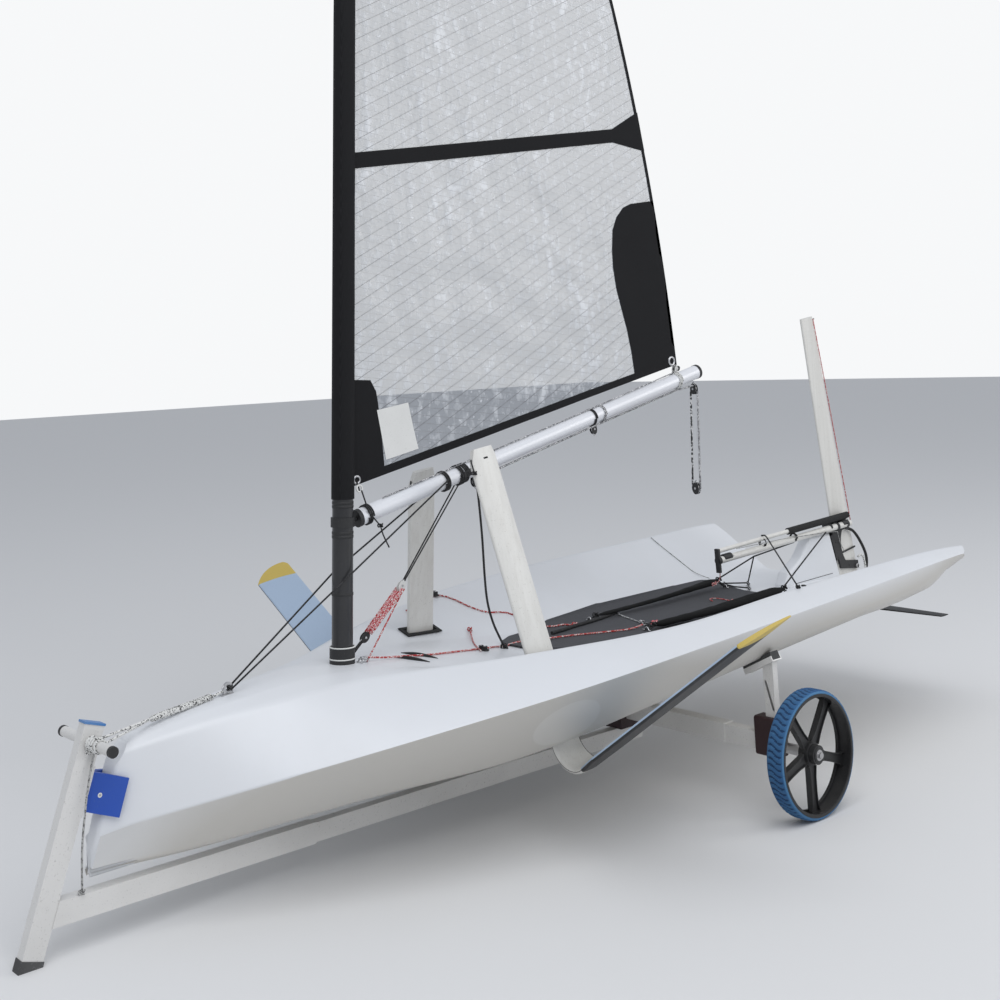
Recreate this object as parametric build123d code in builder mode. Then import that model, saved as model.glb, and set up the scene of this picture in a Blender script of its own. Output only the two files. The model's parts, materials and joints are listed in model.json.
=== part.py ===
# Single-handed foiling dinghy parked on its launching dolly.
# Millimetres. +X is forward (bow), +Y is port, +Z is up, and Z = 0 is the floor.
import os
from math import atan2, cos, hypot, radians, sin, tan
from build123d import *

os.makedirs("parts", exist_ok=True)

# Driving dimensions, hull. Stations run aft from the top of the stem.
STEM_X = 1687
STEM_FOOT_X = STEM_X + 68
STEM_FOOT_Z = 190
STEM_TOP_Z = 515
TRANSOM_STATION = 3458
TRANSOM_Y = 470
WING_TIP_STATION = 3437
WING_TIP_Y = 590
SOLE_Z = 490
DECK_CLEAR_Z = 640
OVERSHOOT = 400
MAT_THICK = 5
MAT_ROUND = 40
STRAP_W = 45
STRAP_THICK = 3
STRAP_LOOP = 12
STRAP_FORE_STATION = 2110
STRAP_FORE_Y = 150
STRAP_FORE_Z = 509
STRAP_AFT_STATION = 2840
STRAP_AFT_Y = 172
STRAP_AFT_Z = 535

# Driving dimensions, rig
MAST_STATION = 776
MAST_RAKE = 1.8
MAST_R = 34
MAST_TIP_R = 20
MAST_WALL = 3
MAST_HEEL_Z = 500
MAST_JOINT_Z = 2700
MAST_TOP_Z = 5450
COLLAR_WALL = 6
COLLAR_HEIGHT = 50
COLLAR_SINK = 90
COLLAR_GAP = 0.5
SLEEVE_WALL = 3
SLEEVE_Z = 1095
SLEEVE_JOINT_GAP = 2
GOOSENECK_Z = 1030
BOOM_R = 28
BOOM_WALL = 2
BOOM_RISE = 13.1
BOOM_START = 66
BOOM_LENGTH = 1760
BOOM_CAP = 14
SAIL_THICK = 3
TACK_Z = 1130
CLEW_REACH = 1655
CLEW_Z = 1465
HEAD_Z = 5400
HEAD_WIDTH = 190
LEECH_ROUND = 250
BATTEN_W = 55
BATTEN_THICK = 2

# Driving dimensions, bow eye
EYE_STATION = 367
EYE_R = 16
EYE_BORE_R = 9
EYE_THICK = 8

# Driving dimensions, lifting foils
STRUT_STATION = 1345
STRUT_Y = 327
STRUT_Z = 527
STRUT_RAKE = 0.136
STRUT_CANT = 0.242
STRUT_CHORD = 118
STRUT_THICK = 22
STRUT_UP = 725
ELBOW_DOWN = 354
ELBOW_R = 80
BLADE_ANGLE = 20.2
BLADE_REACH = 1080
BLADE_CHORD = 182
BLADE_THICK = 18
BLADE_ROOT = 110
TIP_LENGTH = 80
TIP_THICK = 9
STRUT_NOSE_CUT = (26, 53)
STRUT_TAIL_CUT = (9, 31)
STARBOARD_DROP = 90
CASE_GAP = 6
SEAL_W = 14
SEAL_THICK = 4

# Driving dimensions, rudder
HINGE_STATION = 3406
HINGE_Z = 690
HINGE_RAKE = 17
HINGE_PIN_R = 4
HINGE_FIT = 0.03
BARREL_R = 11
HINGE_LENGTH = 150
GUDGEON = 12
GUDGEON_R = 9
HINGE_GAP = 5
GANTRY_TOP_Z = 684
GANTRY_W = 60
GANTRY_FOOT_STATION = 3045
GANTRY_RUN = 195
RUDDER_STATION = 3515
RUDDER_RAKE = 8.6
RUDDER_TOP = 963
RUDDER_DOWN = 320
RUDDER_CHORD = 152
RUDDER_TOP_CHORD = 91
RUDDER_THICK = 16
BLADE_SLOT_GAP = 1.5
HEAD_CHEEK = 9
STABILISER_SPAN = 920
STABILISER_CHORD = 110
STABILISER_TIP_CHORD = 60
STABILISER_THICK = 11
TILLER_STATION = 3540
TILLER_LENGTH = 922
TILLER_R = 14
TILLER_RISE = 2.9
TILLER_Z = 716
CLAMP_REACH = (22, 96)
CLAMP_W = 14
EXTENSION_R = 9
EXTENSION_LIFT = 38
GRIP_R = 14
GRIP_LENGTH = 440

# Driving dimensions, dolly
FIT = 0.05
TUBE_WALL = 3
WHEEL_STATION = 2044
WHEEL_Y = 850
WHEEL_R = 200
TYRE_W = 64
TYRE_DEPTH = 14
RIM_WALL = 5
HUB_R = 30
HUB_W = 60
SPOKES = 5
SPOKE_W = 30
SPOKE_THICK = 16
SPOKE_IN = -18
SPOKE_TURN = 18
STUB_R = 10
STUB_GAP = 0.06
STUB_SOCKET = 60
STUB_TAIL = 8
WASHER_R = 17
WASHER_THICK = 3
WASHER_GAP = 1
AXLE_H = 62
AXLE_W = 50
AXLE_TOP_Z = 240
AXLE_JOINT_Y = 506
AXLE_END_Y = 645
ARM_NEST = 160
ARM_SOCKET = 25
BRACKET_X = 62
BRACKET_Y = 90
BRACKET_H = 125
BRACKET_LOW_Z = 166
SUPPORT_Y = 704
SUPPORT_W = 42
SUPPORT_X = 25
SUPPORT_LOW_Z = 216
SLOT_Z = 360
SLOT_LENGTH = 100
SLOT_W = 10
SLOT_LEAN = 17
CRADLE_X = 50
CRADLE_Y = 664
CRADLE_LENGTH = 136
CRADLE_WALL = 4
PAD_DEPTH = 24
PAD_PROUD = 10
JOINT_X = 110
JOINT_Y = 80
BEAM_H = 62
BEAM_W = 42
BEAM_TOP_Z = 148
BEAM_STEP_STATION = 655
BEAM_NEST = 200
BEAM_TAIL = 80
POST_DEPTH = 60
POST_W = 36
POST_FOOT_STATION = -232
POST_TOP_STATION = -58
POST_TOP_Z = 575
FOOT_H = 22
CAP_THICK = 6
HANDLE_R = 14
HANDLE_WALL = 2
HANDLE_LENGTH = 300
HANDLE_DOWN = 45
STRIP_LOW = 368
STRIP_LENGTH = 130
STRIP_THICK = 4
PLATE_H = 100
PLATE_REACH = 84
PLATE_SPREAD = 66
PLATE_THICK = 8


def station(s):
    return STEM_X - s


# Hull sections. A bellied bottom runs from the keel to each bilge, a flank rises to the
# gunwale edge, the crest stands inboard of it, and the sole lies between the two crests.
SECTION_COLUMNS = ("station", "keel_z", "belly", "bilge_y", "bilge_z", "edge_y", "edge_z",
                   "crest_y", "crest_z", "sole_y", "sole_z", "crown_z")
SECTIONS = (
    (-75, 190, 1, 12, 200, 20, 292, 15, 470, 8, 486, 490),
    (60, 180, 2, 36, 197, 76, 312, 52, 500, 28, 520, 526),
    (300, 170, 3, 100, 208, 212, 360, 112, 543, 60, 562, 567),
    (700, 180, 6, 250, 255, 440, 443, 195, 577, 105, 590, 592),
    (1200, 186, 12, 400, 292, 640, 524, 430, 604, 250, 545, 550),
    (1700, 218, 25, 650, 438, 735, 583, 600, 628, 220, 505, 498),
    (2300, 268, 30, 715, 519, 760, 626, 617, 660, 330, 497, SOLE_Z),
    (2900, 318, 30, 690, 551, 728, 648, 622, 680, 385, 502, 495),
    (3250, 338, 32, 620, 545, 712, 660, 640, 688, 395, 504, 497),
    (3470, 430, 6, 365, 462, 698, 661, 665, 684, 390, 487, 482),
)


def hull_section(row):
    s = dict(zip(SECTION_COLUMNS, row))
    with BuildSketch(Plane(origin=(station(s["station"]), 0, 0), x_dir=(0, 1, 0), z_dir=(1, 0, 0))) as sk:
        with BuildLine():
            bilge = (s["bilge_y"], s["bilge_z"])
            edge = (s["edge_y"], s["edge_z"])
            crest = (s["crest_y"], s["crest_z"])
            sole = (s["sole_y"], s["sole_z"])
            back = [(-y, z) for y, z in (sole, crest, edge, bilge)]
            keel = (0, s["keel_z"])
            mid_z = (s["keel_z"] + s["bilge_z"]) / 2 - s["belly"]
            ThreePointArc(back[3], (-s["bilge_y"] / 2, mid_z), keel)
            ThreePointArc(keel, (s["bilge_y"] / 2, mid_z), bilge)
            Polyline(bilge, edge, crest, sole)
            ThreePointArc(sole, (0, s["crown_z"]), back[0])
            Polyline(*back)
        make_face()
    return sk.sketch


bend_reach = ELBOW_R * tan(radians((90 + BLADE_ANGLE) / 2))
ELBOW_TOP = bend_reach - ELBOW_DOWN


def section_at(s):
    """Hull section at any station, straight between the rows of the table."""
    for fore, aft in zip(SECTIONS, SECTIONS[1:]):
        if fore[0] <= s <= aft[0]:
            share = (s - fore[0]) / (aft[0] - fore[0])
            return dict(zip(SECTION_COLUMNS, (a + (b - a) * share for a, b in zip(fore, aft))))


def strut_plane(side):
    """Frame of a lifting foil: origin on deck, Z up its strut, X along its chord."""
    up = Vector(STRUT_RAKE, -side * STRUT_CANT, 1).normalized()
    return Plane(origin=(station(STRUT_STATION), side * STRUT_Y, STRUT_Z),
                 x_dir=Vector(up.Z, 0, -up.X), z_dir=up)


def mast_plane(z):
    """Frame square to the raked mast at height z on its axis."""
    lean = tan(radians(MAST_RAKE))
    return Plane(origin=(station(MAST_STATION) - lean * (z - SOLE_Z), 0, z),
                 x_dir=(1, 0, lean), z_dir=(-lean, 0, 1))


def foil_outline(chord, thick):
    """Foil section, nose towards +X, centred on mid-chord."""
    nose = chord / 2
    round_r = 0.36 * thick
    with BuildSketch() as sk:
        with BuildLine():
            ThreePointArc((nose - round_r, -round_r), (nose, 0), (nose - round_r, round_r))
            ThreePointArc((nose - round_r, round_r), (0.12 * chord, 0.49 * thick), (-nose, 1))
            Line((-nose, 1), (-nose, -1))
            ThreePointArc((-nose, -1), (0.12 * chord, -0.49 * thick), (nose - round_r, -round_r))
        make_face()
    return sk.sketch


# Hull: one lofted moulding, trimmed to the stem profile, the transom and the wing tips
with BuildPart() as hull:
    add(loft([hull_section(row) for row in SECTIONS], ruled=True))
    with BuildSketch(Plane.XZ):
        with BuildLine():
            Polyline((STEM_FOOT_X, 0), (STEM_FOOT_X, STEM_FOOT_Z + 60), (STEM_X + 8, STEM_TOP_Z - 60),
                     (STEM_X - 30, STEM_TOP_Z - 8), (STEM_X - OVERSHOOT / 2, DECK_CLEAR_Z),
                     (STEM_X + OVERSHOOT, DECK_CLEAR_Z), (STEM_X + OVERSHOOT, 0), (STEM_FOOT_X, 0))
        make_face()
    extrude(amount=OVERSHOOT, both=True, mode=Mode.SUBTRACT)
    for side in (1, -1):
        tip_x = station(WING_TIP_STATION)
        far_x = station(TRANSOM_STATION + OVERSHOOT)
        far_y = side * (WING_TIP_Y + OVERSHOOT)
        with BuildSketch(Plane.XY):
            with BuildLine():
                Polyline((station(TRANSOM_STATION), 0), (station(TRANSOM_STATION), side * TRANSOM_Y),
                         (tip_x, side * WING_TIP_Y), (tip_x, far_y), (far_x, far_y), (far_x, 0),
                         (station(TRANSOM_STATION), 0))
            make_face()
        extrude(amount=2 * DECK_CLEAR_Z, mode=Mode.SUBTRACT)
    for side in (1, -1):
        with BuildSketch(strut_plane(side)):
            Rectangle(STRUT_CHORD + 2 * CASE_GAP, STRUT_THICK + 2 * CASE_GAP)
        extrude(amount=700, both=True, mode=Mode.SUBTRACT)
        with BuildSketch(strut_plane(side).offset(ELBOW_TOP + CASE_GAP)):
            with Locations((0, side * ELBOW_R / 2)):
                Rectangle(STRUT_CHORD + 2 * CASE_GAP, STRUT_THICK + 2 * CASE_GAP + ELBOW_R)
        extrude(amount=-ELBOW_DOWN, mode=Mode.SUBTRACT)
    with BuildSketch(mast_plane(MAST_HEEL_Z)):
        Circle(MAST_R + COLLAR_GAP)
    extrude(amount=400, mode=Mode.SUBTRACT)
hull.part.label = "hull"
export_step(hull.part, "parts/hull.step")

# Cockpit mat: a thin sheet that follows the sole. Station and half width of its edge.
MAT_EDGE = (
    (1506, 70),
    (1624, 156),
    (1925, 270),
    (2267, 342),
    (2784, 376),
    (2995, 376),
    (2900, 75),
)
with BuildPart() as cockpit_mat:
    with BuildSketch(Plane.XY.offset(SOLE_Z - 200)) as mat_plan:
        with BuildLine():
            port_edge = [(station(s), y) for s, y in MAT_EDGE]
            Polyline(*port_edge, *[(x, -y) for x, y in reversed(port_edge)], port_edge[0])
        make_face()
        fillet(mat_plan.vertices(), MAT_ROUND)
    extrude(amount=OVERSHOOT)
    add(Pos(0, 0, MAT_THICK) * hull.part, mode=Mode.INTERSECT)
    add(hull.part, mode=Mode.SUBTRACT)
cockpit_mat.part.label = "cockpit_mat"
export_step(cockpit_mat.part, "parts/cockpit_mat.step")

# Mast collar: a ring on the deck round the mast
with BuildPart() as mast_collar:
    with BuildSketch(mast_plane(MAST_HEEL_Z)):
        Circle(MAST_R + COLLAR_GAP + COLLAR_WALL)
        Circle(MAST_R + COLLAR_GAP, mode=Mode.SUBTRACT)
    extrude(amount=COLLAR_HEIGHT + COLLAR_SINK)
    add(hull.part, mode=Mode.SUBTRACT)
mast_collar.part.label = "mast_collar"
export_step(mast_collar.part, "parts/mast_collar.step")

# Mast: two tubes butted inside the luff sleeve, the upper one tapered
SPARS = (
    ("mast_lower", MAST_HEEL_Z, MAST_JOINT_Z, MAST_R, MAST_R),
    ("mast_upper", MAST_JOINT_Z, MAST_TOP_Z, MAST_R, MAST_TIP_R),
)
for name, low, high, low_r, high_r in SPARS:
    with BuildPart() as spar:
        for inset, mode in ((0, Mode.ADD), (MAST_WALL, Mode.SUBTRACT)):
            with BuildSketch(mast_plane(low)):
                Circle(low_r - inset)
            with BuildSketch(mast_plane(high)):
                Circle(high_r - inset)
            loft(mode=mode)
    spar.part.label = name
    export_step(spar.part, f"parts/{name}.step")

# Luff sleeve: a cloth tube round the mast
with BuildPart() as luff_sleeve:
    share = (HEAD_Z - MAST_JOINT_Z) / (MAST_TOP_Z - MAST_JOINT_Z)
    head_r = MAST_R + (MAST_TIP_R - MAST_R) * share
    for inset, mode in ((SLEEVE_WALL + COLLAR_GAP, Mode.ADD), (COLLAR_GAP, Mode.SUBTRACT)):
        with BuildSketch(mast_plane(SLEEVE_Z)):
            Circle(MAST_R + inset)
        with BuildSketch(mast_plane(MAST_JOINT_Z)):
            Circle(MAST_R + inset)
        loft(mode=mode)
        with BuildSketch(mast_plane(MAST_JOINT_Z)):
            Circle(MAST_R + inset)
        with BuildSketch(mast_plane(HEAD_Z)):
            Circle(head_r + inset)
        loft(mode=mode)
luff_sleeve.part.label = "luff_sleeve"
export_step(luff_sleeve.part, "parts/luff_sleeve.step")


def mast_x(z):
    return mast_plane(z).origin.X


# Sail: a flat plate in the plane of the mast, battens on both faces
luff_gap = MAST_R + COLLAR_GAP + SLEEVE_WALL
clew = Vector(mast_x(CLEW_Z) - CLEW_REACH, CLEW_Z)
head = Vector(mast_x(HEAD_Z) - HEAD_WIDTH, HEAD_Z)
leech = head - clew
leech_mid = (clew + head) / 2 + Vector(-leech.Y, leech.X).normalized() * LEECH_ROUND
with BuildPart() as sail:
    with BuildSketch(Plane.XZ):
        with BuildLine():
            Polyline((mast_x(HEAD_Z) - 30, HEAD_Z), (mast_x(TACK_Z) - 30, TACK_Z), (clew.X, clew.Y))
            ThreePointArc((clew.X, clew.Y), (leech_mid.X, leech_mid.Y), (head.X, head.Y))
            Line((head.X, head.Y), (mast_x(HEAD_Z) - 30, HEAD_Z))
        make_face()
    extrude(amount=SAIL_THICK / 2, both=True)
    with BuildSketch(mast_plane(SLEEVE_Z - 20)):
        Circle(luff_gap)
    extrude(amount=HEAD_Z, mode=Mode.SUBTRACT)
sail.part.label = "sail"
export_step(sail.part, "parts/sail.step")

# Battens: height of the front end, rise to the leech
BATTENS = (
    (2210, 215),
    (2960, 260),
    (3680, 300),
    (4350, 330),
    (4950, 330),
)
with BuildPart() as sail_battens:
    for front_z, rise in BATTENS:
        with BuildSketch(Plane.XZ):
            with BuildLine():
                Polyline((mast_x(front_z) - 45, front_z - BATTEN_W / 2),
                         (mast_x(front_z) - 45, front_z + BATTEN_W / 2),
                         (mast_x(front_z) - 2000, front_z + BATTEN_W / 2 + rise * 2000 / 1500),
                         (mast_x(front_z) - 2000, front_z - BATTEN_W / 2 + rise * 2000 / 1500),
                         (mast_x(front_z) - 45, front_z - BATTEN_W / 2))
            make_face()
        extrude(amount=SAIL_THICK / 2 + BATTEN_THICK, both=True)
    with BuildSketch(Plane.XZ):
        with BuildLine():
            Polyline((mast_x(HEAD_Z) - 30, HEAD_Z), (mast_x(TACK_Z) - 30, TACK_Z), (clew.X, clew.Y))
            ThreePointArc((clew.X, clew.Y), (leech_mid.X, leech_mid.Y), (head.X, head.Y))
            Line((head.X, head.Y), (mast_x(HEAD_Z) - 30, HEAD_Z))
        make_face()
    extrude(amount=40, both=True, mode=Mode.INTERSECT)
    add(sail.part, mode=Mode.SUBTRACT)
    with BuildSketch(mast_plane(SLEEVE_Z)):
        Circle(luff_gap)
    extrude(amount=HEAD_Z, mode=Mode.SUBTRACT)
sail_battens.part.label = "sail_battens"
export_step(sail_battens.part, "parts/sail_battens.step")

# Boom: tube, two end caps and the gooseneck that hooks on the mast
lean = radians(BOOM_RISE)
boom_plane = Plane(origin=(mast_x(GOOSENECK_Z) - BOOM_START, 0, GOOSENECK_Z),
                   x_dir=(0, 1, 0), z_dir=(-cos(lean), 0, sin(lean)))
with BuildPart() as boom_tube:
    with BuildSketch(boom_plane):
        Circle(BOOM_R)
        Circle(BOOM_R - BOOM_WALL, mode=Mode.SUBTRACT)
    extrude(amount=BOOM_LENGTH)
boom_tube.part.label = "boom_tube"
export_step(boom_tube.part, "parts/boom_tube.step")

for name, start in (("boom_front_cap", 0), ("boom_end_cap", BOOM_LENGTH)):
    way = -1 if start == 0 else 1
    with BuildPart() as cap:
        with BuildSketch(boom_plane.offset(start)):
            Circle(BOOM_R + 1)
        extrude(amount=way * BOOM_CAP)
        with BuildSketch(boom_plane.offset(start)):
            Circle(BOOM_R - BOOM_WALL - 0.05)
        extrude(amount=-way * 25)
    cap.part.label = name
    export_step(cap.part, f"parts/{name}.step")

with BuildPart() as gooseneck:
    with BuildSketch(mast_plane(GOOSENECK_Z - 22)):
        Circle(MAST_R + 5)
        Circle(MAST_R + 0.05, mode=Mode.SUBTRACT)
    extrude(amount=30)
    with BuildSketch(boom_plane.offset(-BOOM_CAP)):
        Circle(7)
    extrude(amount=-(BOOM_START - BOOM_CAP - MAST_R - 2))
    with BuildSketch(mast_plane(GOOSENECK_Z - 60)):
        Circle(MAST_R + 0.05)
    extrude(amount=140, mode=Mode.SUBTRACT)
gooseneck.part.label = "gooseneck"
export_step(gooseneck.part, "parts/gooseneck.step")

# Lifting foils: strut and elbow, blade, and painted tip, made to port and mirrored
port = strut_plane(1)
turn = 90 + BLADE_ANGLE
bend_z = ELBOW_TOP
with BuildPart() as strut:
    with BuildSketch(port.offset(bend_z)):
        add(foil_outline(STRUT_CHORD, STRUT_THICK))
    extrude(amount=STRUT_UP - bend_z)
    with BuildSketch(port.offset(bend_z)):
        add(foil_outline(STRUT_CHORD, STRUT_THICK))
    bend_axis = Axis(port.from_local_coords((0, ELBOW_R, bend_z)), port.x_dir)
    revolve(axis=bend_axis, revolution_arc=turn)
    with BuildSketch(Plane(origin=port.origin, x_dir=port.x_dir, z_dir=-port.y_dir)):
        for way, (along, down) in ((1, STRUT_NOSE_CUT), (-1, STRUT_TAIL_CUT)):
            edge = way * STRUT_CHORD / 2
            with BuildLine():
                Polyline((edge - way * along, STRUT_UP), (edge, STRUT_UP - down), (edge + way, STRUT_UP - down),
                         (edge + way, STRUT_UP + 1), (edge - way * along, STRUT_UP + 1),
                         (edge - way * along, STRUT_UP))
            make_face()
    extrude(amount=STRUT_THICK, both=True, mode=Mode.SUBTRACT)

blade_plane = Plane(origin=port.from_local_coords((0, 0, -ELBOW_DOWN)), x_dir=port.x_dir,
                    z_dir=port.y_dir * cos(radians(BLADE_ANGLE)) + port.z_dir * sin(radians(BLADE_ANGLE)))
BLADE_SECTIONS = (
    (bend_reach, STRUT_CHORD, STRUT_THICK),
    (bend_reach + BLADE_ROOT, BLADE_CHORD, BLADE_THICK + 2),
    (BLADE_REACH - TIP_LENGTH, BLADE_CHORD, BLADE_THICK),
)
with BuildPart() as blade:
    for reach, chord, thick in BLADE_SECTIONS:
        with BuildSketch(blade_plane.offset(reach)):
            add(foil_outline(chord, thick))
    loft(ruled=True)
tip_start = BLADE_REACH - TIP_LENGTH
tip_half = BLADE_CHORD / 2 + 4
with BuildPart() as blade_tip:
    with BuildSketch(blade_plane.offset(tip_start)):
        add(foil_outline(BLADE_CHORD, BLADE_THICK))
    with BuildSketch(blade_plane.offset(BLADE_REACH)):
        add(foil_outline(BLADE_CHORD, TIP_THICK))
    loft()
    with BuildSketch(Plane(origin=blade_plane.origin, x_dir=blade_plane.x_dir, z_dir=-blade_plane.y_dir)):
        with BuildLine():
            ThreePointArc((tip_half, tip_start), (0.22 * tip_half, tip_start + 0.74 * TIP_LENGTH),
                          (-0.76 * tip_half, BLADE_REACH))
            ThreePointArc((-0.76 * tip_half, BLADE_REACH), (-0.93 * tip_half, BLADE_REACH - 12),
                          (-tip_half, BLADE_REACH - 40))
            Polyline((-tip_half, BLADE_REACH - 40), (-tip_half, tip_start - 1), (tip_half, tip_start - 1),
                     (tip_half, tip_start))
        make_face()
    extrude(amount=BLADE_THICK, both=True, mode=Mode.INTERSECT)

for name, piece in (("strut", strut), ("blade", blade), ("tip", blade_tip)):
    piece.part.label = f"foil_{name}_port"
    export_step(piece.part, f"parts/foil_{name}_port.step")
    mirrored = Location(strut_plane(-1).z_dir * -STARBOARD_DROP) * mirror(piece.part, about=Plane.XZ)
    with BuildPart() as twin:
        add(mirrored)
    twin.part.label = f"foil_{name}_starboard"
    export_step(twin.part, f"parts/foil_{name}_starboard.step")

# Case seals: a frame on deck round each strut
for side, word in ((1, "port"), (-1, "starboard")):
    with BuildPart() as seal:
        with BuildSketch(strut_plane(side).offset(-120)):
            Rectangle(STRUT_CHORD + 2 * (CASE_GAP + SEAL_W), STRUT_THICK + 2 * (CASE_GAP + SEAL_W))
            Rectangle(STRUT_CHORD + 2 * CASE_GAP, STRUT_THICK + 2 * CASE_GAP, mode=Mode.SUBTRACT)
        extrude(amount=300)
        add(Pos(0, 0, SEAL_THICK) * hull.part, mode=Mode.INTERSECT)
        add(hull.part, mode=Mode.SUBTRACT)
        seal_top = seal.part.solids().sort_by(Axis.Z)[-1]
    with BuildPart() as seal_only:
        add(seal_top)
    seal_only.part.label = f"foil_case_seal_{word}"
    export_step(seal_only.part, f"parts/foil_case_seal_{word}.step")

# Rudder gantry: a fin on the aft deck with a gudgeon at each end of the hinge line
hinge_lean = radians(HINGE_RAKE)
hinge_plane = Plane(origin=(station(HINGE_STATION), 0, HINGE_Z), x_dir=(cos(hinge_lean), 0, -sin(hinge_lean)),
                    z_dir=(sin(hinge_lean), 0, cos(hinge_lean)))


def hinge_x(z):
    return station(HINGE_STATION) - (HINGE_Z - z) * tan(hinge_lean)


gantry_back = BARREL_R + HINGE_GAP + 2
with BuildPart() as rudder_gantry:
    with BuildSketch(Plane.XZ):
        with BuildLine():
            shin = (station(GANTRY_FOOT_STATION + 25), SOLE_Z + 66)
            brow = (station(GANTRY_FOOT_STATION + GANTRY_RUN), GANTRY_TOP_Z)
            Polyline((station(GANTRY_FOOT_STATION), SOLE_Z - 15), (station(GANTRY_FOOT_STATION), SOLE_Z + 20),
                     shin)
            ThreePointArc(shin, (station(GANTRY_FOOT_STATION + 122), SOLE_Z + 120), brow)
            Polyline(brow, (hinge_x(GANTRY_TOP_Z) + gantry_back, GANTRY_TOP_Z),
                     (hinge_x(SOLE_Z - 15) + gantry_back, SOLE_Z - 15),
                     (station(GANTRY_FOOT_STATION), SOLE_Z - 15))
        make_face()
    extrude(amount=GANTRY_W / 2, both=True)
    for low in (-HINGE_LENGTH, -GUDGEON - 6):
        with BuildSketch(hinge_plane.offset(low)):
            with Locations(((gantry_back + 12) / 2, 0)):
                Rectangle(gantry_back + 12, 2 * GUDGEON_R)
            Circle(GUDGEON_R)
        extrude(amount=GUDGEON)
    with BuildSketch(hinge_plane.offset(-HINGE_LENGTH)):
        Circle(HINGE_PIN_R + HINGE_FIT)
    extrude(amount=HINGE_LENGTH, mode=Mode.SUBTRACT)
    add(hull.part, mode=Mode.SUBTRACT)
rudder_gantry.part.label = "rudder_gantry"
export_step(rudder_gantry.part, "parts/rudder_gantry.step")

with BuildPart() as hinge_pin:
    with BuildSketch(hinge_plane.offset(-HINGE_LENGTH - 4)):
        Circle(HINGE_PIN_R)
    extrude(amount=HINGE_LENGTH + 2)
    with BuildSketch(hinge_plane.offset(-6)):
        Circle(HINGE_PIN_R + 3)
    extrude(amount=4)
hinge_pin.part.label = "rudder_hinge_pin"
export_step(hinge_pin.part, "parts/rudder_hinge_pin.step")

# Rudder blade in its own raked frame: origin at the height of the hinge
rudder_lean = radians(RUDDER_RAKE)
rudder_plane = Plane(origin=(station(RUDDER_STATION), 0, HINGE_Z), x_dir=(cos(rudder_lean), 0, -sin(rudder_lean)),
                     z_dir=(sin(rudder_lean), 0, cos(rudder_lean)))
with BuildPart() as rudder_blade:
    with BuildSketch(rudder_plane.offset(-RUDDER_DOWN)):
        add(foil_outline(RUDDER_CHORD, RUDDER_THICK))
    with BuildSketch(rudder_plane.offset(RUDDER_TOP)):
        add(foil_outline(RUDDER_TOP_CHORD, RUDDER_THICK))
    loft()
rudder_blade.part.label = "rudder_blade"
export_step(rudder_blade.part, "parts/rudder_blade.step")

# Stabiliser: the horizontal foil under the rudder blade
foot_x = rudder_plane.offset(-RUDDER_DOWN).origin.X
foot_z = rudder_plane.offset(-RUDDER_DOWN).origin.Z - STABILISER_THICK / 2 - 11
with BuildPart() as stabiliser:
    for side in (1, -1):
        for y, chord in ((0, STABILISER_CHORD), (side * STABILISER_SPAN / 2, STABILISER_TIP_CHORD)):
            with BuildSketch(Plane(origin=(foot_x, y, foot_z), x_dir=(1, 0, 0), z_dir=(0, 1, 0))):
                add(foil_outline(chord, STABILISER_THICK * chord / STABILISER_CHORD))
        loft()
    with BuildSketch(rudder_plane.offset(-RUDDER_DOWN)):
        add(foil_outline(RUDDER_CHORD - 4, RUDDER_THICK))
    extrude(amount=-STABILISER_THICK - 10)
stabiliser.part.label = "rudder_stabiliser"
export_step(stabiliser.part, "parts/rudder_stabiliser.step")

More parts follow.
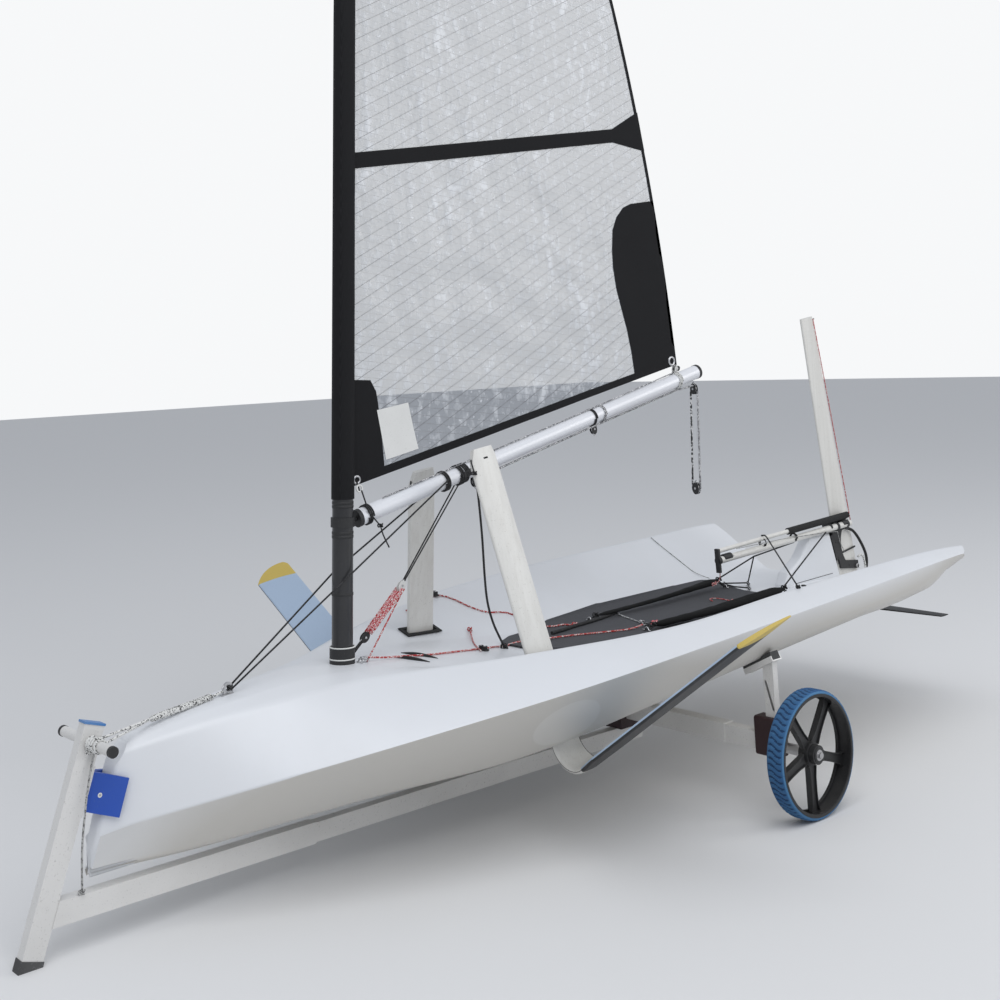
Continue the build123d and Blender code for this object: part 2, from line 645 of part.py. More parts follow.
# Rudder head: a C-shaped box round the blade with a barrel on the hinge line
barrel_low = -HINGE_LENGTH + GUDGEON + HINGE_GAP / 2
barrel_high = -GUDGEON - 6 - HINGE_GAP / 2
head_half = RUDDER_THICK / 2 + HEAD_CHEEK
tiller_lean = radians(TILLER_RISE)
tiller_y = head_half + TILLER_R + 2
tiller_plane = Plane(origin=(station(TILLER_STATION), tiller_y, TILLER_Z), x_dir=(0, 1, 0),
                     z_dir=(cos(tiller_lean), 0, -sin(tiller_lean)))
head_top = HINGE_Z + 44
head_low = HINGE_Z - 165
upper_lip = (station(RUDDER_STATION - 15), HINGE_Z - 3)
lower_lip = (station(RUDDER_STATION - 2), HINGE_Z - 137)
with BuildPart() as rudder_head:
    with BuildSketch(Plane.XZ):
        with BuildLine():
            Polyline((hinge_x(HINGE_Z + 4), HINGE_Z + 4), (hinge_x(head_top), head_top),
                     (station(RUDDER_STATION + 31), head_top), (station(RUDDER_STATION + 31), HINGE_Z + 4),
                     upper_lip)
            ThreePointArc(upper_lip, (station(RUDDER_STATION - 30), HINGE_Z - 70), lower_lip)
            Polyline(lower_lip, (station(RUDDER_STATION + 91), head_low + 18),
                     (station(RUDDER_STATION + 94), head_low - 18), (hinge_x(head_low), head_low),
                     (hinge_x(HINGE_Z + 4), HINGE_Z + 4))
        make_face()
    extrude(amount=head_half, both=True)
    for low, high in ((-HINGE_LENGTH - 30, barrel_low), (barrel_high, 4)):
        with BuildSketch(hinge_plane.offset(low)):
            Rectangle(2 * (BARREL_R + HINGE_GAP), 80)
        extrude(amount=high - low, mode=Mode.SUBTRACT)
    with BuildSketch(hinge_plane.offset(barrel_low)):
        Circle(BARREL_R)
    extrude(amount=barrel_high - barrel_low)
    with BuildSketch(hinge_plane.offset(barrel_low)):
        Circle(HINGE_PIN_R + HINGE_FIT)
    extrude(amount=barrel_high - barrel_low, mode=Mode.SUBTRACT)
    with BuildSketch(rudder_plane.offset(-RUDDER_DOWN)):
        Rectangle(RUDDER_CHORD + 2 * BLADE_SLOT_GAP, RUDDER_THICK + 2 * BLADE_SLOT_GAP)
    extrude(amount=RUDDER_TOP + RUDDER_DOWN, mode=Mode.SUBTRACT)
    for reach in CLAMP_REACH:
        with BuildSketch(tiller_plane.offset(reach)):
            with Locations((-(TILLER_R + 3) / 2, 0)):
                Rectangle(TILLER_R + 3, 2 * TILLER_R + 6)
            Circle(TILLER_R + 3)
            Circle(TILLER_R + 0.05, mode=Mode.SUBTRACT)
        extrude(amount=CLAMP_W)
rudder_head.part.label = "rudder_head"
export_step(rudder_head.part, "parts/rudder_head.step")

# Tiller, its extension folded back along it, and the joint between them
with BuildPart() as tiller:
    with BuildSketch(tiller_plane):
        Circle(TILLER_R)
        Circle(TILLER_R - 2, mode=Mode.SUBTRACT)
    extrude(amount=TILLER_LENGTH)
tiller.part.label = "tiller"
export_step(tiller.part, "parts/tiller.step")

joint_plane = tiller_plane.offset(TILLER_LENGTH)
with BuildPart() as tiller_joint:
    with BuildSketch(joint_plane):
        Circle(TILLER_R + 1)
    extrude(amount=16)
    with BuildSketch(joint_plane):
        Circle(TILLER_R - 2.05)
    extrude(amount=-20)
    with BuildSketch(joint_plane.offset(6)):
        Rectangle(20, 2 * (EXTENSION_LIFT + EXTENSION_R), align=(Align.CENTER, Align.CENTER))
    extrude(amount=12)
tiller_joint.part.label = "tiller_joint"
export_step(tiller_joint.part, "parts/tiller_joint.step")

extension_plane = Plane(origin=joint_plane.origin + joint_plane.y_dir * EXTENSION_LIFT,
                        x_dir=(0, 1, 0), z_dir=-joint_plane.z_dir)
with BuildPart() as tiller_extension:
    with BuildSketch(extension_plane.offset(-4)):
        Circle(EXTENSION_R)
    extrude(amount=TILLER_LENGTH - 20)
tiller_extension.part.label = "tiller_extension"
export_step(tiller_extension.part, "parts/tiller_extension.step")
with BuildPart() as grip:
    with BuildSketch(extension_plane.offset(TILLER_LENGTH - 20 - GRIP_LENGTH)):
        Circle(GRIP_R)
        Circle(EXTENSION_R + 0.05, mode=Mode.SUBTRACT)
    extrude(amount=GRIP_LENGTH + 6)
grip.part.label = "extension_grip"
export_step(grip.part, "parts/extension_grip.step")

# Hiking straps: flat webbing over the mat, sewn to an upright loop at both ends
for side, word in ((1, "port"), (-1, "starboard")):
    start = Vector(station(STRAP_FORE_STATION), side * STRAP_FORE_Y, STRAP_FORE_Z)
    stop = Vector(station(STRAP_AFT_STATION), side * STRAP_AFT_Y, STRAP_AFT_Z)
    with BuildPart() as strap:
        with BuildSketch(Plane(origin=start, x_dir=(0, 1, 0), z_dir=(stop - start).normalized())):
            Rectangle(STRAP_W, STRAP_THICK)
        extrude(amount=(stop - start).length)
        for end in (start, stop):
            loop_height = end.Z - SOLE_Z + STRAP_LOOP
            with Locations(Vector(end.X, end.Y, end.Z + STRAP_THICK / 2 - loop_height / 2)):
                Box(STRAP_LOOP, STRAP_W, loop_height)
        add(hull.part, mode=Mode.SUBTRACT)
        add(cockpit_mat.part, mode=Mode.SUBTRACT)
    strap.part.label = f"hiking_strap_{word}"
    export_step(strap.part, f"parts/hiking_strap_{word}.step")

# Bow eye: a plate with a bore on the foredeck
eye_z = section_at(EYE_STATION)["crown_z"] + EYE_R + 4
with BuildPart() as bow_eye:
    with BuildSketch(Plane.XZ):
        with Locations((station(EYE_STATION), eye_z)):
            Circle(EYE_R)
        with Locations((station(EYE_STATION), eye_z - EYE_R)):
            Rectangle(2 * EYE_R, 2 * EYE_R)
        with Locations((station(EYE_STATION), eye_z)):
            Circle(EYE_BORE_R, mode=Mode.SUBTRACT)
    extrude(amount=EYE_THICK / 2, both=True)
    with Locations((station(EYE_STATION), 0, eye_z - EYE_R - 6)):
        Box(50, 24, 12)
    add(hull.part, mode=Mode.SUBTRACT)
bow_eye.part.label = "bow_eye"
export_step(bow_eye.part, "parts/bow_eye.step")

# Dolly post: a slanting rectangular tube on a rubber foot, with the handle through its top
post_lean = (POST_TOP_STATION - POST_FOOT_STATION) / POST_TOP_Z
post_plane = Plane(origin=(station(POST_FOOT_STATION), 0, 0), x_dir=(1, 0, post_lean), z_dir=(-post_lean, 0, 1))
post_length = hypot(POST_TOP_STATION - POST_FOOT_STATION, POST_TOP_Z)
handle_plane = Plane(origin=post_plane.from_local_coords((0, -HANDLE_LENGTH / 2, post_length - HANDLE_DOWN)),
                     x_dir=(1, 0, 0), z_dir=(0, 1, 0))
with BuildPart() as bow_post:
    with BuildSketch(post_plane.offset(FOOT_H)):
        Rectangle(POST_DEPTH, POST_W)
        Rectangle(POST_DEPTH - 2 * TUBE_WALL, POST_W - 2 * TUBE_WALL, mode=Mode.SUBTRACT)
    extrude(amount=post_length - FOOT_H)
    with BuildSketch(handle_plane):
        Circle(HANDLE_R + FIT)
    extrude(amount=HANDLE_LENGTH, mode=Mode.SUBTRACT)
bow_post.part.label = "bow_post"
export_step(bow_post.part, "parts/bow_post.step")

with BuildPart() as post_foot:
    with BuildSketch(post_plane.offset(FOOT_H)):
        Rectangle(POST_DEPTH - 2 * (TUBE_WALL + FIT), POST_W - 2 * (TUBE_WALL + FIT))
    extrude(amount=40)
    with BuildSketch(post_plane.offset(FOOT_H)):
        Rectangle(POST_DEPTH + 4, POST_W + 4)
    extrude(amount=-60)
    with BuildSketch(Plane.XY):
        Rectangle(6000, 500)
    extrude(amount=-200, mode=Mode.SUBTRACT)
post_foot.part.label = "post_foot"
export_step(post_foot.part, "parts/post_foot.step")

with BuildPart() as post_cap:
    with BuildSketch(post_plane.offset(post_length)):
        Rectangle(POST_DEPTH + 4, POST_W + 4)
    extrude(amount=CAP_THICK)
    with BuildSketch(post_plane.offset(post_length)):
        Rectangle(POST_DEPTH - 2 * (TUBE_WALL + FIT), POST_W - 2 * (TUBE_WALL + FIT))
    extrude(amount=-(HANDLE_DOWN - HANDLE_R - 6))
post_cap.part.label = "post_cap"
export_step(post_cap.part, "parts/post_cap.step")

with BuildPart() as post_handle:
    with BuildSketch(handle_plane):
        Circle(HANDLE_R)
        Circle(HANDLE_R - HANDLE_WALL, mode=Mode.SUBTRACT)
    extrude(amount=HANDLE_LENGTH)
post_handle.part.label = "post_handle"
export_step(post_handle.part, "parts/post_handle.step")

with BuildPart() as handle_plugs:
    for start, way in ((0, -1), (HANDLE_LENGTH, 1)):
        with BuildSketch(handle_plane.offset(start)):
            Circle(HANDLE_R + 1)
        extrude(amount=way * 12)
        with BuildSketch(handle_plane.offset(start)):
            Circle(HANDLE_R - HANDLE_WALL - FIT)
        extrude(amount=-way * 20)
handle_plugs.part.label = "handle_plugs"
export_step(handle_plugs.part, "parts/handle_plugs.step")

# Bow rest: a metal strip down the post and a plastic plate that seats on the stem
with BuildPart() as bow_strip:
    with BuildSketch(post_plane.offset(STRIP_LOW)):
        with Locations((-(POST_DEPTH + STRIP_THICK) / 2, 0)):
            Rectangle(STRIP_THICK, POST_W)
    extrude(amount=STRIP_LENGTH)
bow_strip.part.label = "bow_strip"
export_step(bow_strip.part, "parts/bow_strip.step")

plate_front = -POST_DEPTH / 2 - STRIP_THICK
with BuildPart() as bow_plates:
    with BuildSketch(post_plane.offset(STRIP_LOW + (STRIP_LENGTH - PLATE_H) / 2)):
        for side in (1, -1):
            with BuildLine():
                Polyline((plate_front, 0), (plate_front, side * POST_W / 2),
                         (plate_front - PLATE_REACH, side * PLATE_SPREAD),
                         (plate_front - PLATE_REACH, side * (PLATE_SPREAD - PLATE_THICK)),
                         (plate_front - PLATE_THICK, 0), (plate_front, 0))
            make_face()
    extrude(amount=PLATE_H)
    add(hull.part, mode=Mode.SUBTRACT)
bow_plates.part.label = "bow_plates"
export_step(bow_plates.part, "parts/bow_plates.step")

# Dolly beam: a front tube from the post, and a smaller one that slides into it
beam_mid_z = BEAM_TOP_Z - BEAM_H / 2
nest = TUBE_WALL + FIT
step_plane = Plane(origin=(station(BEAM_STEP_STATION), 0, beam_mid_z), x_dir=(0, 1, 0), z_dir=(1, 0, 0))
with BuildPart() as beam_front:
    with BuildSketch(step_plane):
        Rectangle(BEAM_W, BEAM_H)
        Rectangle(BEAM_W - 2 * TUBE_WALL, BEAM_H - 2 * TUBE_WALL, mode=Mode.SUBTRACT)
    extrude(amount=BEAM_STEP_STATION - POST_FOOT_STATION)
    with BuildSketch(post_plane.offset(-300)):
        with Locations((500 - POST_DEPTH / 2, 0)):
            Rectangle(1000, 400)
    extrude(amount=900, mode=Mode.SUBTRACT)
beam_front.part.label = "beam_front"
export_step(beam_front.part, "parts/beam_front.step")

with BuildPart() as beam_rear:
    with BuildSketch(step_plane.offset(BEAM_NEST)):
        Rectangle(BEAM_W - 2 * nest, BEAM_H - 2 * nest)
        Rectangle(BEAM_W - 2 * nest - 2 * TUBE_WALL, BEAM_H - 2 * nest - 2 * TUBE_WALL, mode=Mode.SUBTRACT)
    extrude(amount=BEAM_STEP_STATION - WHEEL_STATION - BEAM_NEST - BEAM_TAIL)
beam_rear.part.label = "beam_rear"
export_step(beam_rear.part, "parts/beam_rear.step")

# Axle: a middle tube, a smaller arm in each end, and the moulded joint on the beam
wheel_x = station(WHEEL_STATION)
axle_mid_z = AXLE_TOP_Z - AXLE_H / 2
with BuildPart() as axle_tube:
    with BuildSketch(Plane(origin=(wheel_x, -AXLE_JOINT_Y, axle_mid_z), x_dir=(1, 0, 0), z_dir=(0, 1, 0))):
        Rectangle(AXLE_W, AXLE_H)
        Rectangle(AXLE_W - 2 * TUBE_WALL, AXLE_H - 2 * TUBE_WALL, mode=Mode.SUBTRACT)
    extrude(amount=2 * AXLE_JOINT_Y)
axle_tube.part.label = "axle_tube"
export_step(axle_tube.part, "parts/axle_tube.step")

beam_rear_top = BEAM_TOP_Z - nest
with BuildPart() as axle_joint:
    with BuildSketch(Plane.XY.offset(beam_rear_top)):
        with Locations((wheel_x, 0)):
            Rectangle(JOINT_X, JOINT_Y)
    extrude(amount=AXLE_TOP_Z - AXLE_H / 2 - beam_rear_top)
    with BuildSketch(Plane(origin=(wheel_x, -JOINT_Y, axle_mid_z), x_dir=(1, 0, 0), z_dir=(0, 1, 0))):
        Rectangle(AXLE_W, AXLE_H)
    extrude(amount=2 * JOINT_Y, mode=Mode.SUBTRACT)
axle_joint.part.label = "axle_joint"
export_step(axle_joint.part, "parts/axle_joint.step")

# Cradles lie along the hull bottom just inboard of the bilge
seat = section_at(WHEEL_STATION)
chord_slope = (seat["bilge_z"] - seat["keel_z"]) / seat["bilge_y"]
share = CRADLE_Y / seat["bilge_y"]
cradle_z = seat["keel_z"] + chord_slope * CRADLE_Y - 4 * seat["belly"] * share * (1 - share)
cradle_angle = atan2(chord_slope * seat["bilge_y"] - 4 * seat["belly"] * (1 - 2 * share), seat["bilge_y"])

for side, word in ((1, "port"), (-1, "starboard")):
    arm_plane = Plane(origin=(wheel_x, side * (AXLE_JOINT_Y - ARM_NEST), axle_mid_z), x_dir=(1, 0, 0),
                      z_dir=(0, side, 0))
    with BuildPart() as axle_arm:
        with BuildSketch(arm_plane):
            Rectangle(AXLE_W - 2 * nest, AXLE_H - 2 * nest)
            Rectangle(AXLE_W - 2 * nest - 2 * TUBE_WALL, AXLE_H - 2 * nest - 2 * TUBE_WALL, mode=Mode.SUBTRACT)
        extrude(amount=AXLE_END_Y + ARM_SOCKET - AXLE_JOINT_Y + ARM_NEST)
    axle_arm.part.label = f"axle_arm_{word}"
    export_step(axle_arm.part, f"parts/axle_arm_{word}.step")

    inner_plane = Plane(origin=(wheel_x, side * AXLE_END_Y, BRACKET_LOW_Z + BRACKET_H / 2), x_dir=(1, 0, 0),
                        z_dir=(0, side, 0))
    with BuildPart() as bracket:
        with BuildSketch(inner_plane) as block:
            Rectangle(BRACKET_X, BRACKET_H)
            fillet(block.vertices(), 10)
        extrude(amount=BRACKET_Y)
        with BuildSketch(arm_plane.offset(AXLE_END_Y - AXLE_JOINT_Y + ARM_NEST)):
            Rectangle(AXLE_W - 2 * nest + 2 * FIT, AXLE_H - 2 * nest + 2 * FIT)
        extrude(amount=ARM_SOCKET + FIT, mode=Mode.SUBTRACT)
        with BuildSketch(Plane.XY.offset(SUPPORT_LOW_Z)):
            with Locations((wheel_x, side * SUPPORT_Y)):
                Rectangle(SUPPORT_X + 2 * FIT, SUPPORT_W + 2 * FIT)
        extrude(amount=BRACKET_H, mode=Mode.SUBTRACT)
        with BuildSketch(Plane(origin=(wheel_x, side * (AXLE_END_Y + BRACKET_Y), WHEEL_R), x_dir=(1, 0, 0),
                               z_dir=(0, side, 0))):
            Circle(STUB_R + STUB_GAP)
        extrude(amount=-STUB_SOCKET, mode=Mode.SUBTRACT)
    bracket.part.label = f"wheel_bracket_{word}"
    export_step(bracket.part, f"parts/wheel_bracket_{word}.step")

    stub_plane = Plane(origin=(wheel_x, side * (AXLE_END_Y + BRACKET_Y - STUB_SOCKET), WHEEL_R), x_dir=(1, 0, 0),
                       z_dir=(0, side, 0))
    hub_reach = WHEEL_Y + HUB_W / 2 - AXLE_END_Y - BRACKET_Y
    with BuildPart() as stub:
        with BuildSketch(stub_plane):
            Circle(STUB_R)
        extrude(amount=STUB_SOCKET + hub_reach + WASHER_GAP + WASHER_THICK + STUB_TAIL)
        with BuildSketch(stub_plane.offset(STUB_SOCKET + hub_reach + WASHER_GAP)):
            Circle(WASHER_R)
        extrude(amount=WASHER_THICK)
        with BuildSketch(stub_plane.offset(STUB_SOCKET)):
            Circle(WASHER_R)
        extrude(amount=hub_reach - HUB_W - WASHER_GAP)
    stub.part.label = f"stub_axle_{word}"
    export_step(stub.part, f"parts/stub_axle_{word}.step")

    cradle_plane = Plane(origin=(wheel_x, side * CRADLE_Y, cradle_z), x_dir=(1, 0, 0),
                         z_dir=(0, -side * sin(cradle_angle), cos(cradle_angle)))
    with BuildPart() as support:
        with BuildSketch(Plane.XY.offset(SUPPORT_LOW_Z)):
            with Locations((wheel_x, side * SUPPORT_Y)):
                Rectangle(SUPPORT_X, SUPPORT_W)
                Rectangle(SUPPORT_X - 2 * TUBE_WALL, SUPPORT_W - 2 * TUBE_WALL, mode=Mode.SUBTRACT)
        extrude(amount=500)
        with BuildSketch(cradle_plane.offset(-PAD_DEPTH - CRADLE_WALL)):
            Rectangle(400, 800)
        extrude(amount=600, mode=Mode.SUBTRACT)
        with BuildSketch(Plane(origin=(wheel_x, side * SUPPORT_Y, SLOT_Z), x_dir=(0, side, 0), z_dir=(side, 0, 0))):
            SlotOverall(SLOT_LENGTH, SLOT_W, rotation=90 + SLOT_LEAN)
        extrude(amount=side * SUPPORT_X, mode=Mode.SUBTRACT)
    support.part.label = f"hull_support_{word}"
    export_step(support.part, f"parts/hull_support_{word}.step")

    with BuildPart() as cradle:
        with BuildSketch(cradle_plane.offset(-PAD_DEPTH - CRADLE_WALL)):
            Rectangle(CRADLE_X, CRADLE_LENGTH)
        extrude(amount=PAD_DEPTH + CRADLE_WALL - PAD_PROUD)
        with BuildSketch(cradle_plane.offset(-PAD_DEPTH)):
            Rectangle(CRADLE_X - 2 * CRADLE_WALL, CRADLE_LENGTH)
        extrude(amount=PAD_DEPTH, mode=Mode.SUBTRACT)
    cradle.part.label = f"hull_cradle_{word}"
    export_step(cradle.part, f"parts/hull_cradle_{word}.step")

    with BuildPart() as pad:
        with BuildSketch(cradle_plane.offset(-PAD_DEPTH)):
            Rectangle(CRADLE_X - 2 * CRADLE_WALL, CRADLE_LENGTH)
        extrude(amount=PAD_DEPTH + 3)
        add(hull.part, mode=Mode.SUBTRACT)
    pad.part.label = f"cradle_pad_{word}"
    export_step(pad.part, f"parts/cradle_pad_{word}.step")

    # Wheel: a tyre on a dished rim, five spokes set near the inner edge, and a hub
    wheel_plane = Plane(origin=(wheel_x, side * WHEEL_Y, WHEEL_R), x_dir=(1, 0, 0), z_dir=(0, side, 0))
    axle_line = Axis((wheel_x, side * WHEEL_Y, WHEEL_R), (0, 1, 0))
    rim_r = WHEEL_R - TYRE_DEPTH
    half = TYRE_W / 2
    with BuildPart() as tyre:
        with BuildSketch(Plane(origin=(wheel_x, side * WHEEL_Y, WHEEL_R), x_dir=(0, 1, 0), z_dir=(1, 0, 0))):
            with BuildLine():
                Polyline((-half + 9, WHEEL_R), (-half, WHEEL_R - 12), (-half, rim_r), (half, rim_r),
                         (half, WHEEL_R - 12), (half - 9, WHEEL_R), (-half + 9, WHEEL_R))
            make_face()
        revolve(axis=axle_line)
    tyre.part.label = f"tyre_{word}"
    export_step(tyre.part, f"parts/tyre_{word}.step")

    with BuildPart() as rim:
        with BuildSketch(wheel_plane.offset(-half)):
            Circle(rim_r)
            Circle(rim_r - RIM_WALL, mode=Mode.SUBTRACT)
        extrude(amount=TYRE_W)
        with BuildSketch(wheel_plane.offset(-HUB_W / 2)):
            Circle(HUB_R)
        extrude(amount=HUB_W)
        with BuildSketch(wheel_plane.offset(SPOKE_IN)):
            with PolarLocations(rim_r / 2, SPOKES, start_angle=SPOKE_TURN):
                Rectangle(rim_r - RIM_WALL / 2, SPOKE_W)
        extrude(amount=SPOKE_THICK)
        with BuildSketch(wheel_plane.offset(-HUB_W)):
            Circle(STUB_R + STUB_GAP)
        extrude(amount=2 * HUB_W, mode=Mode.SUBTRACT)
    rim.part.label = f"rim_{word}"
    export_step(rim.part, f"parts/rim_{word}.step")
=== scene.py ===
# Foiling dinghy on its launching dolly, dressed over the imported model. Metres; +X bow, +Y port, +Z up.
import bpy
import bmesh
import json
import math
from mathutils import Vector, Matrix, noise
from mathutils.bvhtree import BVHTree


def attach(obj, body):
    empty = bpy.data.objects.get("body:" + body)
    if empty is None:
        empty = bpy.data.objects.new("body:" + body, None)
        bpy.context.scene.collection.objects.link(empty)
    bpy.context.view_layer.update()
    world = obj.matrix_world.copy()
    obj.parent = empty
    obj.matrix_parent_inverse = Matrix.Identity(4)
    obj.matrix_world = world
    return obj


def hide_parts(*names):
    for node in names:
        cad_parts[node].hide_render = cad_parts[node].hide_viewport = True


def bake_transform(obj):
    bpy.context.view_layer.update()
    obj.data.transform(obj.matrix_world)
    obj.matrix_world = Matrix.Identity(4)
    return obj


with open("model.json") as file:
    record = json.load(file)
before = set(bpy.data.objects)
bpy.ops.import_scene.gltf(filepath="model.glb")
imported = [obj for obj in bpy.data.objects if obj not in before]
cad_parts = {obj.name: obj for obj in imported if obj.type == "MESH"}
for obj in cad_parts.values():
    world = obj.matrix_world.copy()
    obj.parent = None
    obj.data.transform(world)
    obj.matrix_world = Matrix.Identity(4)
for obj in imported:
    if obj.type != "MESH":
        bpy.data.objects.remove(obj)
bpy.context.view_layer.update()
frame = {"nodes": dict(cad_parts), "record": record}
nodes = frame["nodes"]
scene = bpy.context.scene
print("frame loaded")

forward, portward, upright = Vector((1, 0, 0)), Vector((0, 1, 0)), Vector((0, 0, 1))
bothSides = (("Port", 1), ("Starboard", -1))
stemX = 1.687
mastSet = {"station": 0.776, "lean": math.radians(1.8), "stepZ": 0.490,
           "bandsZ": (1.072, 1.084, 0.990, 0.978, 0.800, 0.630), "bandRadii": [0.0342, 0.0352, 0.0352, 0.0342]}


# stations run aft from the stem, as on the drawing
def stationX(s):
    return stemX - s


def mastX(z):
    return stationX(mastSet["station"]) - math.tan(mastSet["lean"]) * (z - mastSet["stepZ"])


def linkPiece(name, data, body=None):
    piece = bpy.data.objects.new(name, data)
    scene.collection.objects.link(piece)
    if body:
        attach(piece, body)
    return piece


# camera: a phone held at chest height off the port bow, for a picture of 1000 by 1000
cameraSet = {"place": (3.436, 3.695, 1.548), "yaw": -131.643, "pitch": 8.666, "roll": -2.342,
             "focalPixels": 1334.23, "centreX": 499.23, "centreY": 147.80, "frame": 1000, "sensor": 36}


def makeCamera(c):
    yaw, pitch, roll = (math.radians(c[k]) for k in ("yaw", "pitch", "roll"))
    ahead = Vector((math.cos(yaw) * math.cos(pitch), math.sin(yaw) * math.cos(pitch), math.sin(pitch)))
    side = Vector((math.sin(yaw), -math.cos(yaw), 0))
    above = side.cross(ahead)
    across = side * math.cos(roll) + above * math.sin(roll)
    upward = above * math.cos(roll) - side * math.sin(roll)
    data = bpy.data.cameras.new("photoCamera")
    camera = linkPiece("photoCamera", data)
    camera.matrix_world = Matrix([(across[i], upward[i], -ahead[i], c["place"][i]) for i in range(3)] + [(0, 0, 0, 1)])
    data.sensor_width = c["sensor"]
    data.lens = c["focalPixels"] / c["frame"] * c["sensor"]
    data.shift_x = (c["frame"] / 2 - c["centreX"]) / c["frame"]
    data.shift_y = (c["centreY"] - c["frame"] / 2) / c["frame"]
    data.clip_end = 200
    scene.camera = camera


makeCamera(cameraSet)


# shader helpers: a socket takes a link, a colour or a number
def feed(tree, socket, value):
    if isinstance(value, bpy.types.NodeSocket):
        tree.links.new(value, socket)
    elif socket.type == "RGBA" and len(value) == 3:
        socket.default_value = (*value, 1)
    else:
        socket.default_value = value


def addNode(tree, kind, values, **settings):
    node = tree.nodes.new("ShaderNode" + kind)
    for key, value in settings.items():
        setattr(node, key, value)
    for key, value in values.items():
        feed(tree, node.inputs[key], value)
    return node


def newMaterial(name, **sockets):
    m = bpy.data.materials.new(name)
    m.use_nodes = True
    shader = m.node_tree.nodes["Principled BSDF"]
    for key, value in sockets.items():
        feed(m.node_tree, shader.inputs[key.replace("_", " ")], value)
    return m, m.node_tree, shader.inputs


def mathNode(tree, operation, a, b=0.5, clamp=False):
    return addNode(tree, "Math", {0: a, 1: b}, operation=operation, use_clamp=clamp).outputs[0]


def rampNode(tree, source, low, high, a=0.0, b=1.0):
    return addNode(tree, "MapRange", {"Value": source, "From Min": low, "From Max": high,
                                      "To Min": a, "To Max": b}).outputs[0]


def noiseNode(tree, scale, detail, stretch=None):
    coords = tree.nodes.new("ShaderNodeTexCoord").outputs["Object"]
    if stretch:
        coords = addNode(tree, "Mapping", {"Vector": coords, "Scale": stretch}).outputs["Vector"]
    return addNode(tree, "TexNoise", {"Vector": coords, "Scale": scale, "Detail": detail}).outputs["Fac"]


def mixColours(tree, fac, a, b):
    return addNode(tree, "Mix", {0: fac, 6: a, 7: b}, data_type="RGBA").outputs[2]


def bumpNode(tree, height, strength, distance, invert=False):
    return addNode(tree, "Bump", {"Height": height, "Strength": strength, "Distance": distance},
                   invert=invert).outputs["Normal"]


def startGroup(name, ins, outs):
    g = bpy.data.node_groups.new(name, "ShaderNodeTree")
    for label, value in ins.items():
        kind = "Color" if isinstance(value, tuple) else "Float"
        g.interface.new_socket(label, in_out="INPUT", socket_type="NodeSocket" + kind).default_value = value
    for label, kind in outs.items():
        g.interface.new_socket(label, in_out="OUTPUT", socket_type="NodeSocket" + kind)
    return g, g.nodes.new("NodeGroupInput").outputs


def endGroup(g, **results):
    ends = g.nodes.new("NodeGroupOutput").inputs
    for label, value in results.items():
        g.links.new(value, ends[label])
    return g


# wear: broad mottling, small specks and a gentle bump, shared by most finishes
def makeWearGroup():
    g, ins = startGroup("surfaceWear", {"Colour": (0.5, 0.5, 0.5, 1), "Dirt": (0.2, 0.18, 0.15, 1), "Mottle": 0.1,
                                        "Specks": 0.1, "Gloss": 0.4, "Depth": 0.1},
                        {"Colour": "Color", "Roughness": "Float", "Normal": "Vector"})
    patch = mathNode(g, "MULTIPLY", rampNode(g, noiseNode(g, 3.1, 5), 0.42, 0.72), ins["Mottle"])
    speck = mathNode(g, "MULTIPLY", rampNode(g, noiseNode(g, 190, 4), 0.62, 0.72), ins["Specks"])
    amount = mathNode(g, "ADD", patch, speck, True)
    return endGroup(g, Colour=mixColours(g, amount, ins["Colour"], ins["Dirt"]),
                    Roughness=mathNode(g, "ADD", ins["Gloss"], mathNode(g, "MULTIPLY", amount, 0.35), True),
                    Normal=bumpNode(g, noiseNode(g, 900, 2), ins["Depth"], 0.001))


# weave: two crossed waves, for webbing, sleeve cloth and mat
def makeWeaveGroup():
    g, ins = startGroup("clothWeave", {"Scale": 400.0, "Depth": 0.4}, {"Mask": "Float", "Normal": "Vector"})
    coords = g.nodes.new("ShaderNodeTexCoord").outputs["Object"]
    waves = []
    for turn in (0.6, -0.6):
        turned = addNode(g, "Mapping", {"Vector": coords, "Rotation": (turn, turn * 0.7, turn)}).outputs["Vector"]
        waves.append(addNode(g, "TexWave", {"Vector": turned, "Scale": ins["Scale"]}).outputs["Fac"])
    mask = mathNode(g, "MULTIPLY", *waves)
    return endGroup(g, Mask=mask, Normal=bumpNode(g, mask, ins["Depth"], 0.0008))


# ropes: a plaited cover with flecks of a second colour
def makeRopeGroup():
    g, ins = startGroup("ropeCover", {"Colour": (0.1, 0.1, 0.1, 1), "Fleck": (0.8, 0.8, 0.8, 1), "Share": 0.5,
                                      "Scale": 320.0}, {"Colour": "Color", "Normal": "Vector"})
    coords = g.nodes.new("ShaderNodeTexCoord").outputs["Object"]
    cells = addNode(g, "TexVoronoi", {"Vector": coords, "Scale": ins["Scale"]}).outputs
    pick = addNode(g, "SeparateColor", {"Color": cells["Color"]}).outputs["Red"]
    chosen = mathNode(g, "LESS_THAN", pick, ins["Share"])
    return endGroup(g, Colour=mixColours(g, chosen, ins["Colour"], ins["Fleck"]),
                    Normal=bumpNode(g, cells["Distance"], 0.6, 0.001, True))


groups = {"wear": makeWearGroup(), "weave": makeWeaveGroup(), "rope": makeRopeGroup()}


def groupNode(tree, group, **values):
    return addNode(tree, "Group", values, node_tree=groups[group]).outputs


def wearNode(tree, shader, colour, dirt, mottle, specks, gloss, depth):
    worn = groupNode(tree, "wear", Colour=colour, Dirt=dirt, Mottle=mottle, Specks=specks, Gloss=gloss, Depth=depth)
    for label, socket in (("Colour", "Base Color"), ("Roughness", "Roughness"), ("Normal", "Normal")):
        feed(tree, shader[socket], worn[label])


